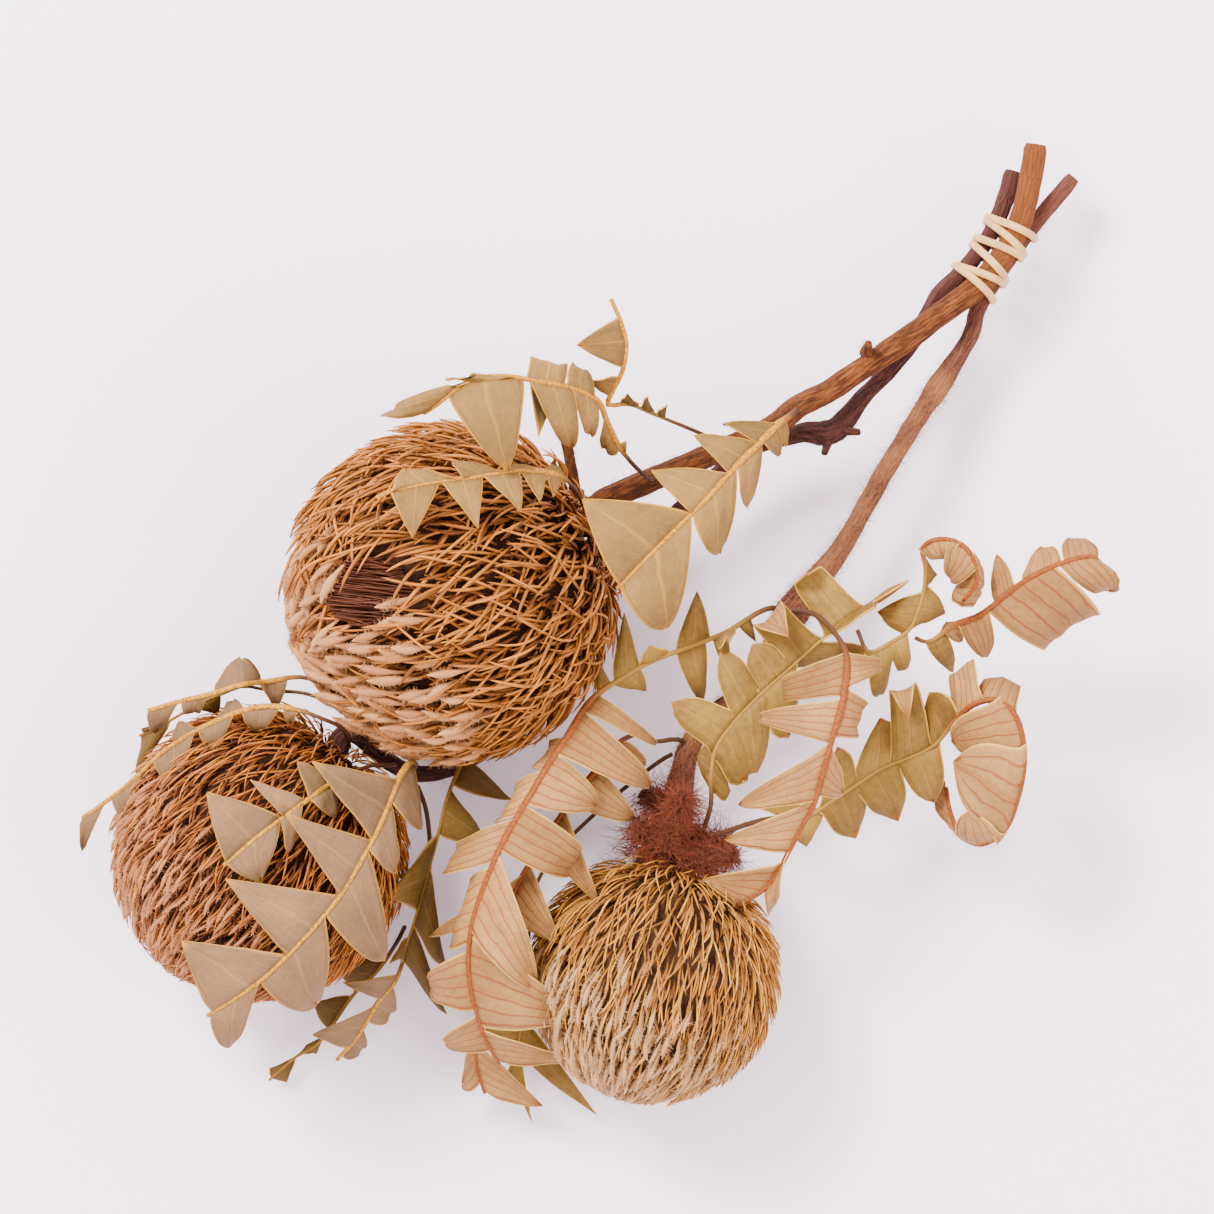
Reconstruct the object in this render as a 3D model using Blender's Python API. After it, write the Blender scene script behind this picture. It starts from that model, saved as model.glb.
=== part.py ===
"""A dried bunch of three bird's-nest banksia flower heads on leafy stems, tied with a rubber band.

It lies on its side. Sizes are in millimetres, in a plan seen from straight above: x to the right,
y up the plan, z above the ground. placed() turns the plan so that the stems run along +X.
"""
import math

import bmesh
import bpy
import numpy as np
from mathutils import Matrix, Vector

MM = 0.001
PLAN_UNIT = 0.25  # plan readings below are in quarter millimetres, y downwards
PLAN_MIDDLE = 607
PLAN_TURN = math.radians(-47)
PLAN_SHIFT = (-6.8, 19.0)  # mm, brings the middle of the bunch over the origin

GAP = 0.35  # between neighbouring pieces
END_GAP = 0.8  # between a stem's end and the middle of its head's foot
STALK_GAP = 0.55  # between a stem and the stalk of a leaf that it bears
LONG_LOBE = 24.0  # lobes longer or wider than this have one more row or column
BLADE = 0.8  # thickness of a leaf
CURL_RADIUS = 3.2
RIB_STEP = 12.0
RIB_SIDES = 4
STEM_SIDES = 8
STEM_STEP = 12.0
STRAIGHT_END = 9.0  # of a stem, before its head

# Flower heads: middle in the plan, radius of the outside, radius of the woody core,
# and the direction from the stem to the top of the head.
HEADS = {
    "head_top": dict(middle=(452, 592), radius=42.5, core=33.0, axis=(-0.84, -0.31, 0.43),
                     florets=175, width=2.4, hole=(372, 600), hole_radius=10.0),
    "head_left": dict(middle=(260, 852), radius=37.0, core=28.5, axis=(-0.62, -0.76, 0.2),
                      florets=132, width=2.2, hole=None, hole_radius=0.0),
    "head_right": dict(middle=(655, 978), radius=31.5, core=23.5, axis=(-0.3, -0.94, 0.15),
                       florets=105, width=2.3, hole=None, hole_radius=0.0),
}
BARE_BASE = math.radians(34)  # half angle round the stem that holds no florets
FLORET_SUNK = 3.5

# Stems: plan x, plan y, height, radius. The last point is replaced by one on the head's core.
STEMS = {
    "stem_top": ("head_top", [
        (1040, 140, 24, 3.0), (1033, 185, 24, 3.0), (1022, 225, 24, 3.0), (1005, 255, 24, 3.0),
        (985, 280, 24.5, 3.0), (960, 300, 25.5, 3.0), (925, 325, 27, 3.0), (890, 350, 28.5, 3.1),
        (860, 370, 30, 2.9), (830, 390, 31, 2.9), (800, 405, 32, 3.1), (770, 428, 33, 2.9),
        (720, 450, 33.5, 2.9), (660, 476, 32, 3.0), (610, 497, 30, 3.2), (582, 512, 28, 3.6),
        (575, 520, 28, 4.2)]),
    "stem_left": ("head_left", [
        (1018, 165, 18, 2.2), (1010, 195, 18, 2.2), (999, 222, 18, 2.2), (985, 245, 18, 2.2),
        (965, 270, 18, 2.2), (945, 292, 18, 2.7), (915, 340, 19, 2.2), (892, 368, 20, 2.2),
        (865, 396, 21, 2.2), (835, 430, 22, 3.2), (800, 432, 22, 2.4), (740, 455, 21, 2.1),
        (650, 540, 20, 2.1), (606, 590, 16, 2.1), (560, 680, 9, 2.1), (480, 755, 12, 2.1),
        (410, 775, 22, 2.2), (352, 752, 31, 2.6), (330, 760, 31, 3.4)]),
    "stem_right": ("head_right", [
        (1080, 172, 17.5, 2.1), (1060, 195, 17.5, 2.1), (1041, 218, 17.5, 2.1),
        (1022, 243, 17.5, 2.1), (985, 300, 17.5, 2.1), (978, 325, 17.5, 2.2),
        (965, 350, 18, 2.2), (940, 387, 19, 3.0), (925, 410, 20, 2.4), (885, 475, 22, 2.3),
        (848, 540, 23, 2.5), (825, 572, 24, 3.0), (795, 610, 25, 4.2), (778, 640, 25, 3.0),
        (755, 685, 25, 2.6), (720, 712, 25, 2.6), (692, 745, 25, 2.8), (680, 790, 25, 3.6),
        (674, 830, 25, 6.5), (668, 862, 25, 9.0)]),
}

# Short stubs: node, foot, tip and the two radii.
STUBS = [
    ("stem_top", (868, 352, 30), (869, 343, 37), 1.8, 0.9),
    ("stem_top", (578, 505, 30), (563, 425, 40), 1.6, 1.3),
    ("stem_left", (833, 432, 22), (826, 452, 26), 1.5, 0.9),
    ("stem_left", (838, 428, 22), (861, 431, 26), 1.5, 0.9),
    ("stem_right", (672, 840, 25), (735, 846, 31), 2.4, 1.2),
    ("stem_right", (676, 815, 25), (640, 795, 27), 2.2, 1.1),
]

# The rubber band: where its turns cross the bundle, and how far each leans.
BAND_RADIUS = 0.9
BAND_TURNS = [
    ((1014, 222), 9.0),
    ((1009, 232), -9.0),
    ((1003, 243), 9.0),
    ((994, 258), -14.0),
    ((985, 271), 12.0),
    ((979, 279), -9.0),
]
BAND_POINTS = 14
BAND_SIDES = 4

# Leaves. Each has a rib of (plan x, plan y, height, turn), where turn 180 shows the underside,
# and lobes of (base start x, y, base end x, y, tip x, y, tip height, arch[, roll, tail]).
# Arch is the bow of the lobe in degrees, roll the curl at its end, positive when it rolls under.
LEAVES = {
    "leaf_shoulder": (
        [(801, 405, 32, 180), (792, 414, 41, 180), (775, 427, 46, 180), (757, 445, 51, 180),
         (735, 467, 55, 180), (705, 500, 59, 180), (680, 525, 61, 180), (650, 555, 62, 180),
         (617, 589, 61, 180)],
        [
            (778, 424, 757, 445, 722, 425, 50, 40),
            (757, 445, 728, 473, 693, 437, 54, 40),
            (728, 473, 690, 513, 651, 472, 60, 40),
            (690, 513, 620, 586, 583, 501, 65, 25),
            (783, 420, 775, 427, 785, 447, 42, 30),
            (775, 427, 760, 442, 778, 456, 43, 40),
            (760, 442, 734, 468, 747, 507, 44, 50),
            (734, 468, 690, 513, 718, 553, 48, 50),
            (690, 513, 620, 586, 667, 627, 50, 45),
        ],
    ),
    "leaf_arch": (
        [(657, 478, 32, 180), (648, 478, 40, 180), (630, 462, 50, 180), (617, 445, 58, 180),
         (607, 424, 66, 180), (597, 404, 73, 180), (570, 392, 79, 180), (540, 387, 83, 180),
         (505, 382, 85, 180), (475, 386, 85, 180), (455, 399, 84, 180), (440, 411, 82, 180),
         (428, 418, 80, 180)],
        [
            (619, 449, 603, 415, 604, 450, 56, 30),
            (622, 452, 616, 442, 627, 445, 57, 0),
            (597, 404, 572, 393, 590, 437, 66, 50),
            (572, 393, 530, 386, 571, 448, 66, 50),
            (525, 384, 452, 401, 510, 474, 83, 50),
            (566, 391, 530, 385, 549, 375, 82, 30, 175, 15),
            (592, 402, 568, 392, 580, 384, 78, 30, 120, 0),
            (524, 384, 488, 383, 450, 385, 84, 30),
            (482, 384, 432, 416, 400, 414, 80, 30, 90, 5),
        ],
    ),
    "leaf_flag": (
        [(723, 449, 33.5, 0), (713, 441, 41, 0), (700, 434, 47, 0), (676, 425, 54, 0),
         (650, 415, 60, 20), (628, 407, 64, 60), (608, 408, 66, 120), (613, 394, 70, 180),
         (622, 376, 77, 180), (626, 351, 80, 180), (620, 328, 83, 180), (611, 308, 86, 180)],
        [
            (666, 421, 656, 417, 667, 408, 60, 20),
            (654, 416, 640, 411, 648, 400, 64, 30),
            (638, 410, 620, 405, 628, 397, 67, 30),
            (610, 398, 621, 379, 590, 385, 72, 30),
            (623, 372, 618, 325, 578, 351, 82, 35),
        ],
    ),
    "leaf_cross": (
        [(604, 500, 30, 180), (600, 505, 40, 180), (588, 512, 50, 180), (575, 490, 62, 180),
         (560, 478, 70, 180), (540, 474, 75, 180), (510, 475, 79, 180), (480, 480, 82, 180),
         (450, 484, 84, 180), (420, 489, 86, 180), (398, 494, 87, 180), (383, 501, 87, 180)],
        [
            (396, 495, 446, 485, 418, 540, 90, 20),
            (446, 485, 486, 479, 481, 530, 87, 20),
            (486, 479, 521, 475, 523, 514, 83, 20),
            (521, 475, 546, 475, 541, 505, 78, 20),
            (546, 475, 562, 479, 554, 499, 72, 20),
            (397, 494, 468, 482, 412, 474, 85, 50),
            (468, 482, 508, 475, 456, 466, 81, 40),
            (508, 475, 540, 474, 502, 467, 78, 40),
            (545, 475, 563, 480, 553, 468, 70, 20),
        ],
    ),
    "leaf_long": (
        [(790, 617, 25, 0), (775, 608, 29.5, 0), (760, 612, 33, 0), (745, 621, 36, 0), (725, 633, 37, 0),
         (700, 643, 38, 0), (678, 651, 39, 0), (650, 662, 40, 0), (625, 676, 42, 30),
         (600, 692, 45, 100), (584, 709, 48, 180), (568, 735, 52, 180), (548, 765, 55, 180),
         (530, 795, 57, 180), (512, 825, 58, 180), (497, 855, 58, 180), (485, 885, 57, 180),
         (475, 915, 55, 180), (470, 945, 52, 180), (470, 975, 48, 180), (475, 1005, 43, 180),
         (482, 1030, 38, 180), (490, 1050, 33, 180), (498, 1066, 29, 180)],
        [
            (752, 617, 738, 625, 757, 642, 32, 30),
            (735, 627, 716, 636, 724, 640, 42, 10, -100, 0),
            (728, 631, 712, 638, 730, 677, 32, 30),
            (710, 639, 676, 652, 697, 592, 34, 40),
            (706, 641, 676, 652, 703, 703, 30, 50),
            (672, 654, 640, 668, 650, 646, 44, 30),
            (640, 668, 615, 682, 624, 612, 38, 30),
            (612, 684, 598, 694, 596, 660, 38, 30),
            (640, 668, 612, 684, 645, 690, 36, 30),
            (598, 695, 583, 712, 655, 743, 38, 70, 20, 0),
            (583, 712, 557, 752, 650, 785, 40, 60, 10, 0),
            (556, 753, 525, 803, 594, 803, 47, 50, 20, 0),
            (525, 803, 501, 848, 573, 860, 50, 50, 150, 3),
            (499, 851, 473, 928, 536, 985, 44, 50, 10, 0),
            (472, 932, 481, 1026, 577, 1015, 40, 25),
            (482, 1030, 497, 1064, 583, 1063, 31, 20),
            (566, 738, 547, 767, 545, 755, 50, 20, 150, 3),
            (546, 768, 520, 812, 508, 803, 52, 40, 160, 3),
            (518, 815, 496, 857, 453, 858, 48, 40, 110, 8),
            (494, 862, 471, 940, 461, 912, 49, 40, 160, 4),
            (470, 948, 476, 1010, 431, 985, 39, 40, 60, 0),
            (477, 1014, 491, 1052, 445, 1045, 30, 40, 40, 0),
        ],
    ),
    "leaf_under": (
        [(692, 745, 25, 180), (676, 740, 30, 180), (655, 742, 32, 180), (638, 735, 36, 180),
         (620, 742, 40, 180), (600, 765, 43, 180), (572, 800, 42, 180), (545, 840, 41, 180),
         (520, 880, 40, 180), (503, 920, 39, 180), (492, 960, 35, 180), (482, 1000, 30, 180),
         (475, 1040, 24, 180), (475, 1070, 19, 180), (483, 1100, 15, 180)],
        [
            (622, 740, 598, 768, 645, 765, 34, 40),
            (598, 768, 570, 803, 635, 820, 36, 40),
            (565, 811, 542, 845, 600, 905, 42, 30),
            (530, 864, 505, 914, 560, 943, 42, 30),
            (500, 930, 488, 975, 574, 1003, 38, 30),
            (474, 1045, 482, 1097, 541, 1114, 10, 20),
            (525, 872, 505, 914, 429, 938, 34, 40),
            (477, 1030, 479, 1088, 461, 1092, 12, 30),
        ],
    ),
    "leaf_underlay": (
        [(690, 752, 25, 0), (668, 758, 23, 0), (625, 790, 20, 0), (575, 835, 18, 0), (545, 870, 16, 0),
         (530, 905, 15, 0), (528, 940, 13, 0), (524, 985, 12, 0), (520, 1030, 11, 0), (515, 1060, 9, 0),
         (506, 1082, 7, 0)],
        [
            (526, 975, 522, 1020, 634, 1100, 3, 5),
            (520, 1024, 512, 1062, 596, 1125, 4, 15),
            (524, 1061, 508, 1080, 531, 1134, 4, 20),
            (545, 1018, 512, 1075, 480, 1040, 8, 25),
        ],
    ),
    "leaf_edge": (
        [(482, 754, 12, 0), (470, 745, 20, 0), (457, 772, 26, 0), (446, 800, 32, 0), (437, 838, 36, 0),
         (427, 875, 36, 0), (416, 915, 34, 0), (406, 945, 31, 0), (400, 965, 28, 0)],
        [
            (464, 757, 452, 785, 512, 803, 16, 30),
            (450, 790, 438, 834, 488, 845, 26, 40),
            (438, 834, 417, 912, 386, 896, 44, 30),
            (430, 865, 413, 925, 443, 968, 22, 40),
            (413, 925, 401, 962, 444, 1021, 12, 30),
            (409, 938, 401, 962, 389, 966, 30, 10),
        ],
    ),
    "leaf_front": (
        [(410, 775, 22, 180), (414, 768, 31, 180), (416, 764, 41, 180), (413, 761, 49, 180),
         (408, 765, 54, 180), (400, 778, 59, 180), (390, 805, 63, 180), (378, 832, 67, 180),
         (362, 862, 70, 180), (345, 890, 72, 180), (325, 915, 73, 180), (300, 942, 72, 180),
         (275, 967, 69, 180), (245, 990, 64, 180), (212, 1011, 58, 180)],
        [
            (400, 778, 376, 836, 318, 759, 72, 30),
            (376, 836, 345, 890, 293, 809, 80, 25),
            (345, 890, 293, 948, 235, 872, 82, 20),
            (293, 948, 218, 1007, 190, 935, 68, 20),
            (409, 757, 393, 797, 422, 828, 48, 40),
            (393, 797, 372, 844, 397, 868, 56, 40),
            (372, 844, 330, 909, 386, 957, 54, 40),
            (330, 909, 265, 975, 318, 1000, 54, 40),
            (265, 975, 215, 1009, 233, 1043, 48, 30),
        ],
    ),
    "leaf_second": (
        [(392, 767, 24, 180), (394, 765, 37, 180), (385, 765, 46, 180), (372, 765, 50, 180),
         (355, 771, 58, 180), (335, 781, 65, 180), (312, 797, 72, 180), (290, 813, 75, 180),
         (262, 834, 77, 180), (232, 860, 77, 180)],
        [
            (290, 813, 234, 858, 216, 789, 76, 30),
            (312, 797, 290, 813, 258, 777, 75, 30),
            (337, 780, 313, 796, 302, 760, 66, 30),
            (288, 815, 235, 857, 268, 876, 75, 25),
            (310, 798, 288, 815, 294, 848, 73, 60),
            (338, 779, 314, 795, 338, 814, 64, 40),
        ],
    ),
    "leaf_rim_low": (
        [(348, 753, 31, 180), (348, 738, 42, 180), (343, 726, 55, 180), (326, 717, 64, 180),
         (300, 708, 62, 180), (270, 705, 60, 180), (245, 710, 58, 180), (222, 719, 56, 180),
         (195, 732, 53, 180), (165, 752, 50, 180), (140, 775, 46, 180), (110, 799, 42, 180),
         (82, 818, 38, 180)],
        [
            (302, 709, 288, 706, 295, 722, 57, 30),
            (286, 706, 247, 710, 261, 729, 54, 40),
            (240, 712, 202, 729, 217, 750, 52, 35),
            (200, 730, 156, 760, 177, 782, 47, 35),
            (145, 770, 113, 797, 128, 822, 40, 35),
            (108, 800, 83, 817, 80, 851, 34, 25),
            (248, 709, 222, 719, 237, 701, 54, 40),
            (203, 728, 178, 742, 182, 721, 50, 30),
        ],
    ),
    "leaf_rim_mid": (
        [(362, 756, 30, 0), (367, 739, 38, 0), (343, 711, 46, 0), (310, 694, 47, 0), (270, 690, 46, 0),
         (245, 686, 46, 0), (225, 693, 45, 0), (205, 701, 45, 0), (185, 712, 42, 0), (160, 726, 38, 0),
         (138, 736, 34, 0)],
        [
            (222, 694, 193, 708, 218, 714, 40, 20),
            (215, 697, 190, 710, 196, 697, 46, 20),
            (170, 721, 139, 735, 133, 778, 28, 30),
            (168, 722, 142, 733, 140, 729, 36, 10),
        ],
    ),
    "leaf_rim_high": (
        [(376, 762, 27, 180), (390, 743, 37, 180), (367, 713, 45, 180), (337, 691, 49, 180),
         (305, 677, 50, 180), (270, 681, 50, 180), (245, 684, 58, 180), (215, 693, 56, 180),
         (185, 700, 52, 180), (150, 710, 47, 180)],
        [
            (263, 682, 217, 692, 243, 659, 48, 30),
            (290, 679, 262, 682, 276, 706, 44, 30),
            (212, 694, 186, 700, 195, 712, 46, 30),
            (182, 701, 151, 710, 157, 731, 40, 30),
        ],
    ),
    "leaf_low": (
        [(410, 775, 22, 180), (424, 815, 17, 180), (427, 870, 16, 180), (416, 920, 20, 180),
         (402, 962, 26, 180), (393, 985, 24, 180), (376, 1006, 21, 180), (362, 1030, 17, 180),
         (350, 1048, 13, 180), (332, 1068, 9, 180)],
        [
            (397, 975, 378, 1003, 341, 985, 28, 40),
            (375, 1007, 346, 1052, 309, 1040, 16, 30),
            (390, 989, 364, 1027, 387, 1018, 14, 40),
            (360, 1033, 337, 1063, 357, 1057, 7, 30),
        ],
    ),
    "leaf_low_back": (
        [(402, 931, 18, 0), (395, 945, 22, 0), (375, 975, 18, 0), (350, 1000, 14, 0), (328, 1032, 11, 0),
         (312, 1052, 9, 0), (288, 1067, 7, 0), (262, 1090, 5, 0)],
        [
            (384, 962, 352, 998, 330, 968, 14, 25),
            (348, 1003, 324, 1038, 308, 1010, 10, 25),
            (318, 1045, 292, 1065, 300, 1053, 8, 10),
            (290, 1066, 264, 1088, 263, 1078, 5, 10),
            (320, 1042, 292, 1065, 310, 1062, 6, 10),
            (290, 1066, 264, 1088, 280, 1092, 4, 10),
        ],
    ),
    "leaf_right": (
        [(795, 612, 25, 180), (797, 611, 33, 180), (806, 612, 41, 180), (816, 616, 50, 180),
         (832, 632, 57, 180), (843, 652, 60, 180), (843, 680, 62, 180), (837, 710, 64, 180),
         (828, 740, 64, 180), (820, 770, 62, 180), (812, 800, 59, 180), (800, 825, 55, 180),
         (785, 855, 50, 180), (772, 880, 46, 180), (755, 895, 44, 180), (735, 906, 42, 180)],
        [
            (843, 656, 842, 690, 784, 689, 48, 40, 170, 3),
            (838, 702, 829, 738, 761, 716, 54, 40, 60, 2),
            (827, 744, 815, 793, 738, 804, 48, 40),
            (812, 800, 790, 846, 725, 838, 46, 30),
            (780, 865, 742, 903, 703, 878, 44, 20),
            (843, 656, 843, 686, 876, 665, 54, 30, 60, 0),
            (842, 692, 832, 730, 857, 718, 54, 40, 150, 4),
            (826, 748, 816, 788, 840, 790, 52, 30),
            (788, 850, 768, 885, 769, 911, 38, 50),
        ],
    ),
    "leaf_olive": (
        [(672, 850, 25, 0), (688, 852, 33, 0), (702, 833, 36, 0), (711, 805, 38, 0), (711, 775, 40, 0),
         (717, 746, 41, 0), (740, 715, 42, 0), (765, 690, 42, 0), (792, 666, 42, 0), (820, 641, 41, 0),
         (850, 617, 41, 0), (880, 600, 42, 0)],
        [
            (711, 785, 714, 757, 697, 756, 40, 20),
            (717, 746, 737, 719, 672, 702, 42, 20),
            (738, 718, 758, 697, 720, 652, 42, 20),
            (763, 692, 788, 670, 752, 645, 42, 20),
            (791, 667, 816, 645, 779, 627, 42, 10, -150, 7),
            (833, 630, 858, 611, 819, 590, 38, 10, -110, 5),
            (711, 785, 714, 757, 730, 792, 37, 20),
            (716, 748, 736, 720, 746, 781, 37, 30),
            (737, 719, 762, 693, 757, 773, 36, 30),
            (764, 691, 790, 668, 788, 737, 37, 30),
            (793, 665, 812, 648, 840, 655, 34, 10, -90, 4),
            (828, 634, 860, 611, 880, 596, 46, 10, -140, 4),
        ],
    ),
    "leaf_scroll": (
        [(676, 826, 25, 0), (696, 830, 32, 0), (712, 836, 36, 0), (735, 829, 36, 0), (765, 820, 35, 0),
         (790, 818, 34, 0), (812, 815, 33, 0), (835, 800, 34, 0), (860, 783, 35, 0), (885, 767, 36, 0),
         (910, 757, 38, 0), (935, 744, 42, 40), (952, 722, 48, 110), (972, 703, 54, 180),
         (996, 700, 57, 180), (1014, 720, 57, 180), (1021, 760, 54, 180), (1015, 800, 49, 180),
         (1004, 830, 43, 180), (982, 845, 37, 180), (962, 836, 33, 180), (952, 812, 31, 180),
         (948, 788, 31, 180)],
        [
            (790, 818, 815, 813, 757, 800, 32, 20),
            (796, 818, 822, 809, 807, 847, 28, 20),
            (826, 806, 857, 785, 854, 829, 30, 30, -60, 0),
            (860, 783, 892, 764, 895, 812, 31, 30, -60, 0),
            (828, 805, 855, 787, 838, 747, 36, 30),
            (860, 783, 895, 762, 881, 718, 38, 30),
            (898, 760, 925, 750, 904, 702, 46, 30, -190, 4),
            (902, 759, 932, 746, 936, 803, 32, 30),
            (1004, 706, 1020, 748, 951, 740, 46, 40),
            (1020, 765, 1005, 828, 951, 761, 50, 30),
            (998, 836, 966, 838, 967, 811, 44, 30),
            (958, 828, 948, 792, 937, 800, 26, 20),
            (930, 747, 952, 722, 928, 692, 46, 30),
            (955, 719, 974, 703, 962, 673, 50, 30, 120, 5),
            (976, 702, 1004, 706, 998, 685, 54, 20, 120, 5),
        ],
    ),
    "leaf_ring": (
        [(857, 630, 42.5, 0), (868, 652, 44, 0), (890, 642, 45, 0), (908, 630, 46, 0),
         (916, 612, 48, 20), (922, 590, 50, 60), (923, 568, 53, 90), (920, 548, 56, 140),
         (936, 540, 60, 180), (957, 545, 62, 180), (970, 562, 62, 180), (972, 583, 60, 180),
         (960, 601, 56, 180)],
        [
            (908, 630, 920, 600, 877, 612, 44, 20),
            (889, 643, 903, 634, 905, 668, 40, 40, 100, 3),
            (870, 651, 890, 642, 880, 695, 36, 40, 60, 2),
            (912, 622, 922, 592, 944, 612, 44, 30),
            (922, 586, 922, 560, 934, 575, 50, 20),
            (922, 546, 948, 542, 940, 560, 56, 30),
            (950, 543, 970, 562, 948, 578, 52, 40),
            (971, 564, 962, 600, 956, 585, 50, 30),
            (971, 566, 961, 600, 977, 590, 54, 30),
        ],
    ),
    "leaf_cap": (
        [(915, 638, 45.5, 0), (926, 642, 43, 0), (938, 636, 42, 40), (954, 624, 45, 120),
         (976, 616, 50, 180), (1000, 597, 55, 180), (1020, 581, 59, 180), (1045, 568, 62, 180),
         (1070, 559, 63, 180), (1088, 558, 62, 180), (1097, 567, 59, 180)],
        [
            (984, 611, 1050, 566, 1066, 628, 50, 40, 150, 14),
            (1052, 565, 1094, 563, 1105, 590, 52, 50, 40, 0),
            (1018, 583, 1056, 563, 1038, 548, 58, 30),
            (1058, 562, 1092, 560, 1070, 540, 56, 20, 30, 0),
            (992, 604, 1012, 587, 995, 555, 50, 20),
            (958, 622, 986, 610, 988, 657, 38, 20),
            (945, 632, 958, 622, 962, 640, 40, 20),
            (936, 640, 954, 624, 946, 622, 42, 10),
            (925, 648, 945, 632, 955, 672, 30, 30),
        ],
    ),
}
RIB_RADII = {
    "leaf_long": (1.3, 0.6),
    "leaf_right": (1.3, 0.6),
    "leaf_olive": (1.2, 0.6),
    "leaf_scroll": (1.2, 0.6),
    "leaf_shoulder": (1.2, 0.6),
}
RIB_USUAL = (1.0, 0.6)
LEAF_STEMS = {
    "leaf_shoulder": "stem_top", "leaf_arch": "stem_top", "leaf_flag": "stem_top",
    "leaf_cross": "stem_top", "leaf_front": "stem_left", "leaf_second": "stem_left",
    "leaf_rim_low": "stem_left", "leaf_rim_mid": "stem_left", "leaf_rim_high": "stem_left",
    "leaf_edge": "stem_left", "leaf_low": "stem_left", "leaf_low_back": "stem_left",
    "leaf_long": "stem_right", "leaf_under": "stem_right", "leaf_underlay": "stem_right",
    "leaf_right": "stem_right", "leaf_olive": "stem_right", "leaf_scroll": "stem_right",
}
# How blunt the lobes are, and how far each base runs past its readings as a share of its width.
LOBE_SHAPES = {
    "leaf_olive": (3.0, 0.12), "leaf_scroll": (2.6, 0.14), "leaf_ring": (2.2, 0.1), "leaf_cap": (2.2, 0.0),
}
CURLED_BLUNT = 2.4
LOBE_USUAL = (1.4, 0.0)

COLOURS = {
    "head_top": (0.36, 0.22, 0.09), "head_left": (0.42, 0.27, 0.15), "head_right": (0.62, 0.5, 0.33),
    "stem_top": (0.3, 0.13, 0.05), "stem_left": (0.15, 0.08, 0.06), "stem_right": (0.34, 0.18, 0.11),
    "band": (0.78, 0.7, 0.52),
}
UNDERSIDE = (0.5, 0.4, 0.22)
UPPERSIDE = (0.24, 0.19, 0.05)


def plan(x, y, z):
    """A plan reading as a point in millimetres."""
    return np.array([(x - PLAN_MIDDLE) * PLAN_UNIT, (PLAN_MIDDLE - y) * PLAN_UNIT, z], float)


def placed(points):
    """Points of the plan in metres, turned so that the stems run along +X."""
    points = np.asarray(points, float)
    cos, sin = math.cos(PLAN_TURN), math.sin(PLAN_TURN)
    x = points[:, 0] * cos - points[:, 1] * sin + PLAN_SHIFT[0]
    y = points[:, 0] * sin + points[:, 1] * cos + PLAN_SHIFT[1]
    return np.column_stack([x, y, points[:, 2]]) * MM


def unit(vector):
    vector = np.asarray(vector, float)
    return vector / max(np.linalg.norm(vector), 1e-9)


def smooth_path(points, per_span=12):
    """A Catmull-Rom curve through rows of numbers."""
    p = np.asarray(points, float)
    p = np.vstack([2 * p[0] - p[1], p, 2 * p[-1] - p[-2]])
    out = []
    for i in range(1, len(p) - 2):
        a, b, c, d = p[i - 1:i + 3]
        for t in np.arange(per_span) / per_span:
            out.append(0.5 * (2 * b + (c - a) * t + (2 * a - 5 * b + 4 * c - d) * t ** 2
                              + (3 * b - a - 3 * c + d) * t ** 3))
    out.append(p[-2])
    return np.array(out)


def distance_along(path):
    steps = np.linalg.norm(np.diff(path[:, :3], axis=0), axis=1)
    return np.concatenate([[0], np.cumsum(steps)])


def at_share(path, shares):
    """Rows of a path at the given shares of its length."""
    run = distance_along(path)
    shares = np.atleast_1d(shares)
    return np.column_stack([np.interp(shares * run[-1], run, path[:, k]) for k in range(path.shape[1])])


def respaced(path, step):
    count = max(2, int(round(distance_along(path)[-1] / step)) + 1)
    return at_share(path, np.linspace(0, 1, count))


def new_mesh(name, points, faces):
    """A mesh object from plan points, with its faces turned outwards."""
    mesh = bpy.data.meshes.new(name)
    mesh.from_pydata([tuple(p) for p in placed(points)], [], faces)
    body = bmesh.new()
    body.from_mesh(mesh)
    bmesh.ops.recalc_face_normals(body, faces=body.faces)
    body.to_mesh(mesh)
    body.free()
    made = bpy.data.objects.new(name, mesh)
    bpy.context.scene.collection.objects.link(made)
    return made


def frames(path):
    """Two directions across each point of a path, carried along without twist."""
    ahead = np.gradient(path[:, :3], axis=0)
    ahead /= np.linalg.norm(ahead, axis=1)[:, None]
    side = unit(np.cross(ahead[0], (0, 0, 1) if abs(ahead[0][2]) < 0.9 else (1, 0, 0)))
    sides, ups = [], []
    for direction in ahead:
        side = unit(side - direction * np.dot(side, direction))
        sides.append(side)
        ups.append(np.cross(side, direction))
    return np.array(sides), np.array(ups)


def tube(path, radii, sides, closed=False):
    """Points and faces of a tube round a path."""
    across, up = frames(path)
    if closed:
        ahead = np.roll(path, -1, axis=0)[:, :3] - np.roll(path, 1, axis=0)[:, :3]
        ahead /= np.linalg.norm(ahead, axis=1)[:, None]
        middle = path[:, :3].mean(axis=0)
        out = path[:, :3] - middle
        across = np.array([unit(o - a * np.dot(o, a)) for o, a in zip(out, ahead)])
        up = np.cross(across, ahead)
    rings = len(path)
    points = []
    for i in range(rings):
        for k in range(sides):
            angle = 2 * math.pi * k / sides
            points.append(path[i, :3] + radii[i] * (math.cos(angle) * across[i] + math.sin(angle) * up[i]))
    faces = []
    for i in range(rings if closed else rings - 1):
        j = (i + 1) % rings
        for k in range(sides):
            m = (k + 1) % sides
            faces.append((i * sides + k, i * sides + m, j * sides + m, j * sides + k))
    if not closed:
        faces.append(tuple(range(sides - 1, -1, -1)))
        faces.append(tuple(range((rings - 1) * sides, rings * sides)))
    return np.array(points), faces


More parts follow.
